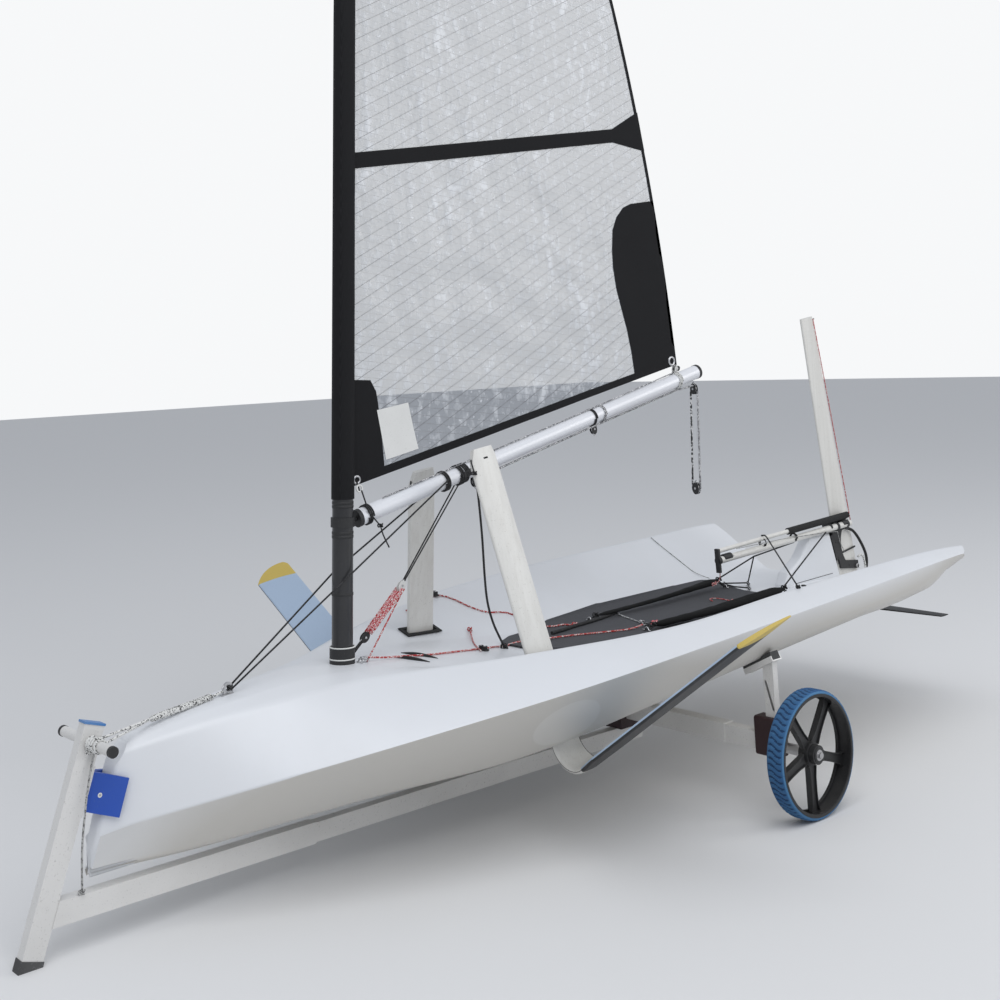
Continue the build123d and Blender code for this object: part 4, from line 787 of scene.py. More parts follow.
def makeDeckLines():
    for name, finish, diameter, farEnd, route in deckLines:
        body = "steering" if name == "tillerCord" else "boat"
        knots = [deckPoint(x, y, diameter / 2 + 0.0005 + sum(lift)) for x, y, *lift in route]
        if farEnd == "knot":
            ahead = knots[-1] - knots[-2]
            place = knots[-1] + ahead.normalized() * 0.004 + upright * 0.003
            addKnot(name + ".knot", place, 0.011, diameter, body, finish, ahead)
        freeCord(name, knots, diameter, body, finish)


makeDeckLines()

# free cords that hang clear of the deck; two of them end in a knot, with its place, size and rope
sheetEnd = deckHeight(0.238, 0.018) + 0.006
hangingCords = (
    ("sheetTail", "boat", "ropeBlack", 0.008, "limp", ((0.236, 0.018, deckHeight(0.236, 0.018) + 0.006), 0.014, 0.007),
     ((0.330, 0.008, 1.108), (0.326, 0.010, 1.060), (0.323, 0.014, 0.990), (0.322, 0.02, 0.907), (0.320, 0.02, 0.840),
      (0.318, 0.02, 0.779), (0.312, 0.02, 0.691), (0.289, 0.02, 0.617), (0.262, 0.02, 0.566),
      (0.238, 0.018, sheetEnd))),
    ("rudderHose", "steering", "seal", 0.013, "medium", None,
     ((-1.845, 0.02, 0.690), (-1.868, 0.02, 0.688), (-1.905, 0.02, 0.668), (-1.946, 0.02, 0.621),
      (-1.975, 0.02, 0.575), (-1.983, 0.02, 0.545), (-1.981, 0.02, 0.515), (-1.969, 0.02, 0.492))),
    ("rudderPaleTail", "steering", "ropeWhite", 0.009, "limp", None,
     ((-1.905, 0.028, 0.560), (-1.924, 0.029, 0.572), (-1.944, 0.030, 0.555), (-1.953, 0.030, 0.525),
      (-1.956, 0.030, 0.490))),
    ("postRope", "boat", "ropeGrey", 0.006, "limp", ((1.781, 0.022, 0.155), 0.009, 0.005),
     ((1.742, 0.024, 0.527), (1.752, 0.026, 0.50), (1.764, 0.030, 0.455), (1.774, 0.034, 0.405),
      (1.781, 0.036, 0.350), (1.786, 0.036, 0.300), (1.787, 0.033, 0.250), (1.784, 0.028, 0.200),
      (1.781, 0.023, 0.152))),
    ("noseTail", "rig", "ropeBlack", 0.005, "limp", None,
     ((0.768, 0.034, 0.998), (0.772, 0.044, 0.985), (0.764, 0.046, 0.962), (0.742, 0.042, 0.928))),
)
for name, body, finish, diameter, stiffness, knot, route in hangingCords:
    ends = [addKnot(name + ".knot", *knot, body, finish)] if knot else []
    freeCord(name, route, diameter, body, finish)
print("free cords laid")

# boom: places are measured along it from its nose, over it and across
boomSet = {"lean": math.radians(13.1), "noseZ": 1.030, "noseAhead": 0.066, "radius": 0.0285}
boomNose = Vector((mastX(boomSet["noseZ"]) - boomSet["noseAhead"], 0, boomSet["noseZ"]))
boomAhead = Vector((-math.cos(boomSet["lean"]), 0, math.sin(boomSet["lean"])))
boomUp = Vector((math.sin(boomSet["lean"]), 0, math.cos(boomSet["lean"])))
boomFoot = mastX(0.862)


def onBoom(along, up=0.0, across=0.0):
    return boomNose + boomAhead * along + boomUp * up + Vector((0, across, 0))


def boomAtX(x):
    return (boomNose.x - x) / math.cos(boomSet["lean"])


# turns round the boom: place along it, radius, turns, pitch, rope, finish
boomTurns = (
    ("bowLinePort.hitch", boomAtX(0.474), 0.0325, 2.2, 0.008, 0.007, "ropeBlack"),
    ("bowLineStarboard.hitch", boomAtX(0.41), 0.0325, 2.2, 0.008, 0.007, "ropeBlack"),
    ("boomBand", boomAtX(0.387), 0.0310, 3.0, 0.007, 0.007, "ropeBlack"),
    ("tieRing", boomAtX(-0.315), 0.0305, 2.0, 0.006, 0.006, "ropeSteel"),
    ("clewStrop", boomAtX(-0.765), 0.0305, 3.0, 0.008, 0.006, "ropeWhite"),
    ("boomBlockStrop50", 0.50, 0.0305, 2.0, 0.007, 0.005, "ropeBlack"),
    ("boomBlockStrop112", 1.12, 0.0305, 2.0, 0.007, 0.005, "ropeBlack"),
    ("noseWrap", 0.028, 0.0315, 3.0, 0.007, 0.005, "ropeBlack"),
)


def makeBoomRigging():
    top = boomSet["radius"]
    for name, along, radius, turns, pitch, rope, finish in boomTurns:
        wrapRound(name, onBoom(along), boomAhead, radius, turns, pitch, rope, "rig", finish)
    for word, side in bothSides:
        hook = onBoom(boomAtX(0.474 if side > 0 else 0.41), 0.008, side * 0.036)
        path = [(1.312, side * 0.010, 0.588), (boomFoot + 0.004, side * 0.047, 0.862), hook]
        piece = tautLine("bowLine" + word, path, 0.006, None, "ropeBlack")
        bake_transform(piece)
        addPrism("boomSaddle" + word, circle(16, 0.05, 0.012), -0.004, 0.004,
                 lambda u, v, w: onBoom(0.47 + u, v, side * (top + w)), "rig", "blackMoulding", 0.002)
    addKnot("bowLineKnot", (1.316, 0, 0.590), 0.013, 0.006, "boat", "ropeBlack")
    tautLine("outhaulLine", [onBoom(0.10, top + 0.003, 0.006), onBoom(0.55, top + 0.004, 0.008),
                             onBoom(1.10, top + 0.003, 0.006), onBoom(1.63, top + 0.006, 0.0)], 0.005, "rig",
             "ropeSteel")
    tautLine("outhaulTail", [onBoom(0.12, top - 0.003, -0.008), onBoom(0.90, top - 0.001, -0.010)], 0.004, "rig",
             "ropeBlack")
    addBlock("outhaulBlock", onBoom(1.655, top + 0.016), boomAhead, portward, 0.016, "rig")
    clewLow, clewTop = onBoom(boomAtX(-0.765), top), Vector((-0.765, 0, 1.463))
    for k in range(3):
        loop = [clewLow.lerp(clewTop, 0.5) + (clewTop - clewLow) * (0.52 * math.cos(t))
                + Vector(((k - 1) * 0.006, 0.008 * math.sin(t), 0)) for t in (2 * math.pi * i / 16 for i in range(17))]
        addTube("clewLashing" + str(k), loop, 0.0022, "rig", "ropeWhite", 6)


# sheet: two parts down to a hanging block, and a long part under the boom
def makeSheet():
    end, block = onBoom(1.74, -0.034), Vector((-0.853, 0.0, 0.962))
    addBlock("boomEndBlock", end - upright * 0.030, upright, forward, 0.022, "rig")
    addBlock("hangingBlock", block, upright, forward, 0.024, "rig")
    for name, way, finish in (("sheetPartA", 1, "ropeSteel"), ("sheetPartB", -1, "ropeSheet")):
        tautLine(name, [end + Vector((0, way * 0.018, -0.040)), block + Vector((0, way * 0.020, 0.0))], 0.008, "rig",
                 finish)
    addTube("sheetTurn", [block + Vector((0, 0.020 * math.cos(t), -0.020 * math.sin(t)))
                          for t in (math.pi * k / 10 for k in range(11))], 0.004, "rig", "ropeSteel")
    tautLine("sheetAlongBoom", [end + Vector((0.012, 0.006, -0.016)), onBoom(1.62, -0.036, 0.006),
                                onBoom(1.10, -0.034, 0.008), onBoom(0.52, -0.036, 0.010)], 0.008, "rig", "ropeSteel")
    for name, along in (("boomBlock50", 0.50), ("boomBlock112", 1.12)):
        addBlock(name, onBoom(along, -0.046), -boomUp, portward, 0.020, "rig")


# vang: two strops, a pale block, five parts down to the foot block and the fall
vangSet = {"upper": (0.660, 0, 0.800), "lower": (0.670, 0, 0.784), "foot": (0.806, 0, 0.662),
           "parts": (-0.022, -0.011, 0.0, 0.011, 0.022), "blocks": 0.019}


def makeVang():
    boomPoint = onBoom(boomAtX(0.422), -0.032)
    upper, lower, foot = (Vector(vangSet[k]) for k in ("upper", "lower", "foot"))
    for word, way in bothSides:
        tautLine("vangStrop" + word, [boomPoint + portward * (way * 0.010), upper + portward * (way * 0.004)], 0.005,
                 "rig", "ropeBlack")
    addBlock("vangBlock", upper.lerp(lower, 0.5), upper - foot, portward, vangSet["blocks"], "rig", "clearPale")
    for k, shift in enumerate(vangSet["parts"]):
        path = [lower + portward * shift, foot + portward * (shift * 0.9)]
        part = tautLine("vangTackle" + str(k), path, 0.0055, None, "ropePink" if k % 2 else "ropeRed")
        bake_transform(part)
    addBlock("vangFootBlock", foot + Vector((0.012, 0, -0.010)), foot - lower, portward, vangSet["blocks"], "boat")
    tautLine("vangTail", [foot + Vector((0.022, 0, -0.018)), (mastX(0.60) - 0.037, 0, 0.607)], 0.011, "boat",
             "ropeBlack")
    fall = [lower + Vector((0, 0.016, -0.004)), Vector((0.838, 0.036, 0.585))]
    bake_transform(tautLine("vangFall", fall, 0.005, None, "ropeRed"))


makeBoomRigging()
makeSheet()
makeVang()
print("running rigging ready")

# sail: clear film between luff, foot and a rounded leech, with every edge tape and pocket on the same surface
# a batten has its height at the luff and its rise over 1.5 m
sailSet = {"tackZ": 1.130, "headZ": 5.400, "clewReach": 1.655, "clewZ": 1.465, "headWidth": 0.190, "round": 0.250,
           "cell": 0.022, "crease": 0.013, "flat": (1.66, 4.27),
           "battens": ((2.210, 0.215), (2.960, 0.260), (3.680, 0.300), (4.350, 0.330), (4.950, 0.330)),
           "clewPatch": ((-0.553, 2.120), (-0.510, 2.103), (-0.468, 2.062), (-0.440, 2.008), (-0.432, 1.93),
                         (-0.432, 1.86), (-0.445, 1.77), (-0.470, 1.69), (-0.495, 1.61), (-0.512, 1.53)),
           "square": ((0.747, 1.370), (0.618, 1.388), (0.578, 1.231), (0.715, 1.205))}


def leechPoints(count):
    clew = Vector((mastX(sailSet["clewZ"]) - sailSet["clewReach"], sailSet["clewZ"]))
    head = Vector((mastX(sailSet["headZ"]) - sailSet["headWidth"], sailSet["headZ"]))
    chord, rise = head - clew, sailSet["round"]
    outward = Vector((-chord.y, chord.x)).normalized()
    half = chord.length / 2
    radius = (half * half + rise * rise) / (2 * rise)
    centre = (clew + head) / 2 + outward * rise - outward * radius
    first, last = (math.atan2(p.y - centre.y, p.x - centre.x) for p in (clew, head))
    return [centre + Vector((math.cos(t), math.sin(t))) * radius
            for t in (first + (last - first) * i / count for i in range(count + 1))]


leech = leechPoints(60)


def leechX(z):
    for a, b in zip(leech, leech[1:]):
        if a.y <= z <= b.y:
            return a.x + (b.x - a.x) * (z - a.y) / (b.y - a.y)
    return leech[0].x if z < leech[0].y else leech[-1].x


def footZ(x):
    share = (mastX(sailSet["tackZ"]) - x) / (mastX(sailSet["tackZ"]) - leech[0].x)
    return sailSet["tackZ"] + (sailSet["clewZ"] - sailSet["tackZ"]) * share


# creases run from the tack and the clew into the film, and broad waves cross the middle
def sailY(x, z):
    share = min(1, max(0, (mastX(z) - x) / max(0.2, mastX(z) - leechX(z))))
    free = math.sin(math.pi * min(1, share * 1.02)) ** 0.7
    free *= 0.25 + 0.75 * min(1, max(0, (z - footZ(x)) / 0.25))
    broad = noise.noise(Vector((x * 1.3, z * 0.9, 4.0))) * 1.6
    fine = noise.noise(Vector((x * 5.0 + z * 3.0, z * 5.5 - x * 4.0, 9.0)))
    sharp = abs(noise.noise(Vector((x * 8.0 - z * 4.0, z * 3.0, 2.0))))
    low = max(0.0, 1.0 - (z - 1.2) / 1.3)
    return sailSet["crease"] * free * (0.55 * broad + (0.35 + 0.5 * low) * (fine - 0.8 * sharp))


# a flat outline cut into cells and laid on the sail; trim lies on both faces of the film
def gridCloth(name, outline, cell, lift, finish, both=True):
    made = bmesh.new()
    made.faces.new([made.verts.new((x, 0, z)) for x, z in outline])
    for axis, way in ((0, forward), (1, upright)):
        low, high = min(p[axis] for p in outline), max(p[axis] for p in outline)
        for i in range(1, int((high - low) / cell) + 1):
            bmesh.ops.bisect_plane(made, geom=made.verts[:] + made.edges[:] + made.faces[:], dist=1e-6,
                                   plane_co=way * (low + i * cell), plane_no=way)
    for v in made.verts:
        v.co.y = sailY(v.co.x, v.co.z) + lift
    bmesh.ops.recalc_face_normals(made, faces=made.faces[:])
    if both:
        twin = bmesh.ops.duplicate(made, geom=made.faces[:])["geom"]
        for v in (g for g in twin if isinstance(g, bmesh.types.BMVert)):
            v.co.y -= 2 * lift
        bmesh.ops.reverse_faces(made, faces=[g for g in twin if isinstance(g, bmesh.types.BMFace)])
    mesh = bpy.data.meshes.new(name)
    made.to_mesh(mesh)
    made.free()
    mesh.shade_smooth()
    mesh.materials.append(finishes[finish])
    piece = linkPiece(name, mesh, "rig")
    return piece


# where a batten pocket meets the leech, with its flare
def pocketShape(frontZ, rise, flare=0.17, half=0.0275):
    slope, front = rise / 1.5, mastX(frontZ) - 0.038
    endZ = frontZ + slope * 1.6
    for turn in range(6):
        endZ = frontZ + slope * (front - leechX(endZ))
    flareX, flareZ = leechX(endZ) + flare, endZ - slope * flare
    return [(front, frontZ - half), (flareX, flareZ - half), (leechX(endZ - 0.075) + 0.001, endZ - 0.075),
            (leechX(endZ + 0.075) + 0.001, endZ + 0.085), (flareX, flareZ + half), (front, frontZ + half)]


def makeSail():
    luff = [(mastX(z) - 0.036, z) for z in (5.400, 4.6, 3.8, 3.0, 2.2, 1.6, 1.130)]
    tape = [(p.x, p.y) for p in leech]
    outline = luff + tape
    film = gridCloth("sailFilm", outline, sailSet["cell"], 0.0, "film", both=False)
    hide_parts("sail")
    clewX, clewZ = tape[0]
    tack = [(mastX(1.13) - 0.037, 1.131), (mastX(1.14) - 0.168, footZ(mastX(1.14) - 0.168) + 0.001)]
    tack += [(mastX(1.2) - 0.166 + 0.03 * t, 1.20 + 0.24 * math.sin(t * math.pi / 2)) for t in (0, 0.3, 0.6, 0.85, 1.0)]
    clew = [(clewX + 0.001, clewZ)] + [(leechX(z) + 0.001, z) for z in (1.60, 1.75, 1.9, 2.0, 2.08, 2.138)]
    shapes = {
        "leechTape": tape + [(x + 0.016, z) for x, z in reversed(tape)],
        "footBand": [(mastX(1.13) - 0.037, 1.130), (clewX, clewZ), (clewX + 0.003, clewZ + 0.026),
                     (mastX(1.16) - 0.037, 1.158)],
        "luffTape": [(mastX(z) - 0.037, z) for z in (1.13, 2.2, 3.8, 5.4)]
        + [(mastX(z) - 0.045, z) for z in (5.4, 3.8, 2.2, 1.13)],
        "tackPatch": tack + [(mastX(1.47) - 0.11, 1.470), (mastX(1.474) - 0.037, 1.474)],
        "clewPatch": clew + list(sailSet["clewPatch"]) + [(-0.524, footZ(-0.524) + 0.001)],
        "headPatch": [(mastX(5.4) - 0.037, 5.399), (leech[-1].x, 5.399), (leechX(5.2) + 0.001, 5.2),
                      (mastX(5.10) - 0.037, 5.10)],
    }
    trims = [gridCloth(name, shape, 0.04, 0.0016, "sleeve") for name, shape in shapes.items()]
    pockets = [gridCloth("battenPocket" + str(int(z * 100)), pocketShape(z, rise), 0.05, 0.0035, "sleeve") for z, rise in sailSet["battens"]]
    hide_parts("sail_battens")
    trims += pockets[1:] + pockets[:1]
    trims.append(gridCloth("paleSquare", sailSet["square"], 0.05, 0.0030, "clearPale", both=False))
    trims.append(ringAt("clewRing", Vector((-0.745, 0, 1.480)), portward, 0.016, 0.005, "rig", "steel"))
    trims.append(ringAt("tackRing", Vector((mastX(1.15) - 0.055, 0, 1.150)), portward, 0.012, 0.004, "rig", "steel"))


makeSail()

# wheels: a worn blue tyre with a wavy cross tread, and ribs and rings on the rim
# rings have inner and outer radius, then the reach across the wheel
wheelSet = {"x": stationX(2.044), "y": 0.850, "z": 0.200, "treads": 62, "perTread": 8, "groove": 0.0032,
            "profile": ((-0.0318, 0.1865), (-0.0320, 0.1905), (-0.0300, 0.1955), (-0.0262, 0.1985), (-0.0205, 0.1997),
                        (-0.0150, 0.2), (-0.0095, 0.2), (-0.0040, 0.2), (0.0015, 0.2), (0.0070, 0.2), (0.0125, 0.2),
                        (0.0175, 0.1999), (0.0218, 0.1994), (0.0262, 0.1985), (0.0300, 0.1955), (0.0320, 0.1905),
                        (0.0318, 0.1865)),
            "rib": ((0.040, 0.017), (0.075, 0.012), (0.120, 0.0115), (0.160, 0.014), (0.1795, 0.021)),
            "spokes": 5, "firstSpoke": 18, "ribThick": 0.0030, "edge": 0.0008,
            "rings": (("hubRing", 0.030, 0.036, -0.012, 0.010), ("hubFace", 0.012, 0.024, 0.0295, 0.0325),
                      ("rimLedge", 0.1735, 0.1815, -0.021, -0.016), ("rimLip", 0.1780, 0.1815, 0.0240, 0.0320),
                      ("rimBead", 0.1800, 0.1888, 0.0300, 0.0334))}


def makeTyre(word, side):
    w = wheelSet
    steps = w["treads"] * w["perTread"]
    points, groove = [], []
    for t in (2 * math.pi * i / steps for i in range(steps)):
        for y, r in w["profile"]:
            phase = w["treads"] * t + 2.4 * math.sin(y / 0.0115) + 0.5 * math.sin(3 * t)
            cut = max(0.0, math.cos(phase)) ** 0.8 * min(1.0, max(0.0, (0.0285 - abs(y)) / 0.004))
            r -= w["groove"] * cut
            points.append(Vector((w["x"] + r * math.cos(t), side * (w["y"] + y), w["z"] + r * math.sin(t))))
            groove.append(cut)
    tyre = addPiece("tyreSkin" + word, points, ringFaces(steps, len(w["profile"]), True), "wheel_" + word.lower(),
                    "tyre", slot="tyre_blue", replaces=["tyre_" + word.lower()])
    tyre.data.materials.append(finishes["tyreEdge"])
    tyre.data.materials.append(finishes["tyreGroove"])
    for face in tyre.data.polygons:
        deep = sum(groove[v] for v in face.vertices) / 4
        edge = abs(abs(face.center.y) - w["y"]) > 0.0295
        face.material_index = 1 if edge else (2 if deep > 0.55 else 0)


def makeRimTrim(word, side, centre):
    w, body = wheelSet, "wheel_" + word.lower()
    place = inFrame(centre, forward, upright, portward * side)
    for s in range(w["spokes"]):
        turn = -side * math.radians(w["firstSpoke"] + 360 / w["spokes"] * s)
        for label, edge in (("A", 1), ("B", -1)):
            rail = [(r, edge * half) for r, half in w["rib"]]
            rail += [(r, v + edge * w["ribThick"]) for r, v in rail[::-1]]
            shape = [(r * math.cos(turn) - v * math.sin(turn), r * math.sin(turn) + v * math.cos(turn))
                     for r, v in rail]
            addPrism("spokeRib" + word + str(s) + label, shape, -0.010, 0.0045, place, body, "rim", w["edge"])
    for name, inner, outer, low, high in w["rings"]:
        points = [place(r * u, r * v, h) for u, v in circle(64, 1)
                  for r, h in ((inner, low), (outer, low), (outer, high), (inner, high))]
        softenEdges(addPiece(name + word, points, ringFaces(64, 4, True), body, "rim", smooth=False), w["edge"])


for word, side in bothSides:
    makeTyre(word, side)
    makeRimTrim(word, side, Vector((wheelSet["x"], side * wheelSet["y"], wheelSet["z"])))
print("wheels ready")

# straps: padded webbing, tied down at both ends; the starboard one lies thinner
strapSet = {"start": (-0.400, 0.150, 0.516), "stop": (-1.150, 0.172, 0.541), "half": 0.024, "thick": 0.0125,
            "steps": 40, "sides": 16, "sag": 0.006}


def makeStrap(word, side):
    s = strapSet
    start, stop = (Vector((x, side * y, z)) for x, y, z in (s["start"], s["stop"]))
    points = []
    for t in (i / s["steps"] for i in range(s["steps"] + 1)):
        p = start.lerp(stop, t) - upright * (s["sag"] * math.sin(math.pi * t))
        pinch = min(1.0, 0.45 + min(t, 1 - t) * 9) * (1.0 if side > 0 else 0.42 + 0.5 * t)
        wave = 1 + 0.05 * math.sin(37 * t) + 0.04 * math.sin(61 * t + 1)
        twist = 0.25 * math.sin(5 * t + side)
        for u, v in circle(s["sides"], 1):
            y = math.copysign(abs(u) ** 0.7, u) * s["half"] * pinch
            z = math.copysign(abs(v) ** 0.8, v) * s["thick"] * pinch * wave
            points.append(p + Vector((0, y * math.cos(twist) - z * math.sin(twist),
                                      y * math.sin(twist) + z * math.cos(twist))))
    faces = ringFaces(s["steps"] + 1, s["sides"]) + capFaces(s["steps"] + 1, s["sides"])
    strap = addPiece("strap" + word, points, faces, "boat", "webbing", slot="webbing",
                     replaces=["hiking_strap_" + word.lower()])
    for end, ahead, label in ((start, 1, "Fore"), (stop, -1, "Aft")):
        label = "strapTie" + word + label
        tip = deckPoint(end.x + ahead * 0.05, end.y, 0.004)
        for letter, shift in (("B", -0.006), ("A", 0.006)):
            tautLine(label + letter, [end + portward * shift, tip + portward * shift], 0.005, "boat", "ropeBlack")
        addKnot(label + "Knot", end + Vector((ahead * 0.012, 0, 0.004)), 0.014, 0.006, "boat", "ropeBlack")
        addSaddle(label + "Saddle", tip, 0.018, "boat")


for word, side in bothSides:
    makeStrap(word, side)

# deck fittings: place on deck and height over it
deckSet = {
    "cleats": (("cleatPort", 0.345, 0.030, (1, -0.05, 0)), ("cleatFar", 0.085, -0.560, (0.9, -0.3, 0))),
    "strips": (("deckStripA", (0.713, 0.002), (0.659, 0.133)), ("deckStripB", (0.634, -0.054), (0.593, 0.092))),
    "sternBlocks": (("sternBlockA", -1.234, -0.201), ("sternBlockB", -1.244, -0.079), ("sternBlockC", -1.322, -0.145)),
    "lines": (
        ("linePortTail", "ropePink", ((-0.428, 0.085, 0.007), (-0.462, 0.085, 0.006))),
        ("sternLineA", "ropeBlack", ((-1.165, -0.172, 0.025), (-1.234, -0.201, 0.012), (-1.322, -0.145, 0.012))),
        ("sternLineB", "ropeBlack", ((-1.234, -0.201, 0.008), (-1.225, -0.140, 0.006), (-1.244, -0.079, 0.010)))),
}


def makeDeckFittings():
    addBlock("mastFootBlock", deckPoint(0.848, 0.036, 0.012), (1, 0, 0.1), upright, 0.016, "boat", "steel")
    addSaddle("mastFootSaddle", deckPoint(0.866, 0.036, 0.002), 0.014, "boat")
    for name, x, y, ahead in deckSet["cleats"]:
        addCleat(name, deckPoint(x, y, 0.002), ahead, 0.020, "boat")
    for name, a, b in deckSet["strips"]:
        path = [deckPoint(a[0] + (b[0] - a[0]) * t, a[1] + (b[1] - a[1]) * t, 0.0008)
                for t in (i / 12 for i in range(13))]
        addTube(name, path, [0.0012 + 0.0075 * math.sin(math.pi * i / 12) for i in range(13)], "boat", "seal")
    addBlock("linePortBlock", deckPoint(-0.421, 0.086, 0.009), forward, upright, 0.015, "boat")
    addKnot("linePortKnot", deckPoint(-0.468, 0.085, 0.008), 0.013, 0.006, "boat", "ropePink")
    for name, x, y in deckSet["sternBlocks"]:
        addBlock(name, deckPoint(x, y, 0.010), (0.8, 0.4, 0.5), (0, 0.6, 1), 0.013, "boat")
        addSaddle(name + "Saddle", deckPoint(x, y, 0.002), 0.012, "boat", forward)
    for name, finish, stops in deckSet["lines"]:
        tautLine(name, [deckPoint(*p) for p in stops], 0.006, "boat", finish)
    drain = deckPoint(-0.695, 0.617)
    ringAt("drainRing", drain + upright * 0.001, (0, 0.12, 1), 0.008, 0.0022, "boat", "blackMoulding")
    ballAt("drainPlug", drain, (0.007, 0.007, 0.0018), "boat", "seal", 14)
    seam = [deckPoint(-1.485 - 0.0335 * i, -0.029 + 0.0036 * i, 0.0006) for i in range(7)]
    addTube("deckSeam", seam, 0.0016, "boat", "seal", 6)


makeDeckFittings()

# stern: elastics from the straps and the crest over the tiller, the tiller's bands and the head's bolts and lines
sternSet = {
    "tillerY": 0.033, "tillerZ": 0.6735, "tillerRise": math.radians(2.9), "rake": math.radians(8.6),
    "turns": (("elasticRing", -1.431, 0.7005, 0.0165, 2.0, 0.007), ("elasticTurn", -1.216, 0.7055, 0.0170, 1.5, 0.009)),
    "bands": (("tillerBandA", 0.905, 0.030), ("tillerBandB", 0.80, 0.012), ("tillerBandC", 0.075, 0.050)),
    "screws": (("tillerScrew955", -0.955, 0.6775), ("tillerScrew1004", -1.005, 0.680)),
    "bolts": (("headBoltA", -1.790, 0.700), ("headBoltB", -1.760, 0.640), ("headBoltC", -1.775, 0.570),
              ("headBoltD", -1.850, 0.530), ("headBoltE", -1.840, 0.716)),
    "eyes": (("headEye0", -1.848, 0.722, 0.010), ("headEye1", -1.905, 0.520, 0.009)),
    "ties": (("bladeLineTie95", 0.95), ("bladeLineTie62", 0.62), ("bladeLineTie30", 0.30)),
    "wire": ((-1.02, 0.050, 0.706), (-1.313, 0.052, 0.708), (-1.640, 0.050, 0.699), (-1.745, 0.040, 0.690),
             (-1.780, 0.024, 0.640), (-1.812, 0.022, 0.594)),
}


def makeElastics(tillerY):
    crest, middle = Vector((-1.208, tillerY + 0.012, 0.730)), Vector((-1.151, tillerY, 0.657))
    elastics = {
        "elasticCrest": [deckPoint(-0.650, 0.626, 0.004)]
        + [crest + Vector(v) for v in ((0, 0.018, 0.0), (-0.005, 0.004, 0.007), (-0.008, -0.016, 0.004))],
        "elasticPort": [Vector((-1.153, 0.172, 0.545)), Vector((-1.641, 0.052, 0.700))],
        "elasticStarboard": [Vector((-1.153, -0.172, 0.545)), middle, Vector((-1.431, tillerY, 0.681))],
        "elasticDeck": [deckPoint(-1.322, -0.145, 0.012), middle],
    }
    for name, path in elastics.items():
        piece = tautLine(name, path, 0.006, None, "elastic")
        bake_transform(piece)
    for name, x, z, radius, turns, pitch in sternSet["turns"]:
        wrapRound(name, (x, tillerY, z), (-1, 0, 0.05), radius, turns, pitch, 0.005, "steering", "elastic")
    addKnot("elasticFoot", deckPoint(-0.650, 0.626, 0.006), 0.009, 0.005, "boat", "elastic")


def makeStern():
    s = sternSet
    tillerY, rake = s["tillerY"], s["rake"]
    makeElastics(tillerY)
    tautLine("thinWire", s["wire"], 0.003, "steering", "ropeGrey", 6)
    for name, x, z in s["screws"]:
        ballAt(name, (x, tillerY + 0.0125, z), (0.004, 0.002, 0.004), "steering", "steel")
    aft = Vector((-math.cos(s["tillerRise"]), 0, math.sin(s["tillerRise"])))
    base = Vector((-0.9, tillerY, s["tillerZ"]))
    for name, along, width in s["bands"]:
        path = [base + aft * (along + way) for way in (-width / 2, 0.002 - width / 2, width / 2 - 0.002, width / 2)]
        addTube(name, path, [0.0142, 0.0152, 0.0152, 0.0142], "steering", "blackMoulding", 20)
    addBlock("tillerBlock", base + aft * 0.93 - upright * 0.018, -upright, portward, 0.013, "steering")
    up, ahead = Vector((math.sin(rake), 0, math.cos(rake))), Vector((math.cos(rake), 0, -math.sin(rake)))
    onBlade = inFrame(Vector((stationX(3.515), 0, 0.690)), up, ahead, portward)
    line = ((0.950, -0.047), (0.55, -0.062), (0.20, -0.074), (0.02, -0.079))
    tautLine("bladeLine", [onBlade(along, chord, 0.003) for along, chord in line], 0.0045, "rudder", "ropeRed")
    for name, along in s["ties"]:
        wrapRound(name, onBlade(along, -0.052 - (0.95 - along) * 0.030, 0), -up, 0.0055, 2.0, 0.003, 0.0022, "rudder",
                  "ropeWhite")
    for word, way in bothSides:
        addPrism("bladeClip" + word, rectangle(-0.050, 0.052, -0.004, 0.004), 0.0075, 0.0125,
                 lambda u, v, w: onBlade(-0.098 + v, u - 0.022, way * w), "steering", "blackMoulding", 0.002)
        for name, x, z in s["bolts"]:
            ballAt(name + word, (x, way * 0.0172, z), (0.0045, 0.0020, 0.0045), "steering", "blackMoulding", 12)
    for name, x, z, radius in s["eyes"]:
        ringAt(name, Vector((x, 0.024, z)), (0, 1, 0.2), radius, 0.0025, "steering", "steel")


makeStern()
print("stern ready")

# fin under the rudder: rounded edges, its thin line, and fillets to the deck
finSet = {"foot": 3.045, "top": 0.684, "lowZ": 0.475, "back": 0.018, "half": 0.030, "hinge": 3.406, "hingeZ": 0.690,
          "tilt": math.radians(17), "gudgeons": (("gudgeonLow", -0.150), ("gudgeonHigh", -0.018)),
          "gudgeonHeight": 0.012}


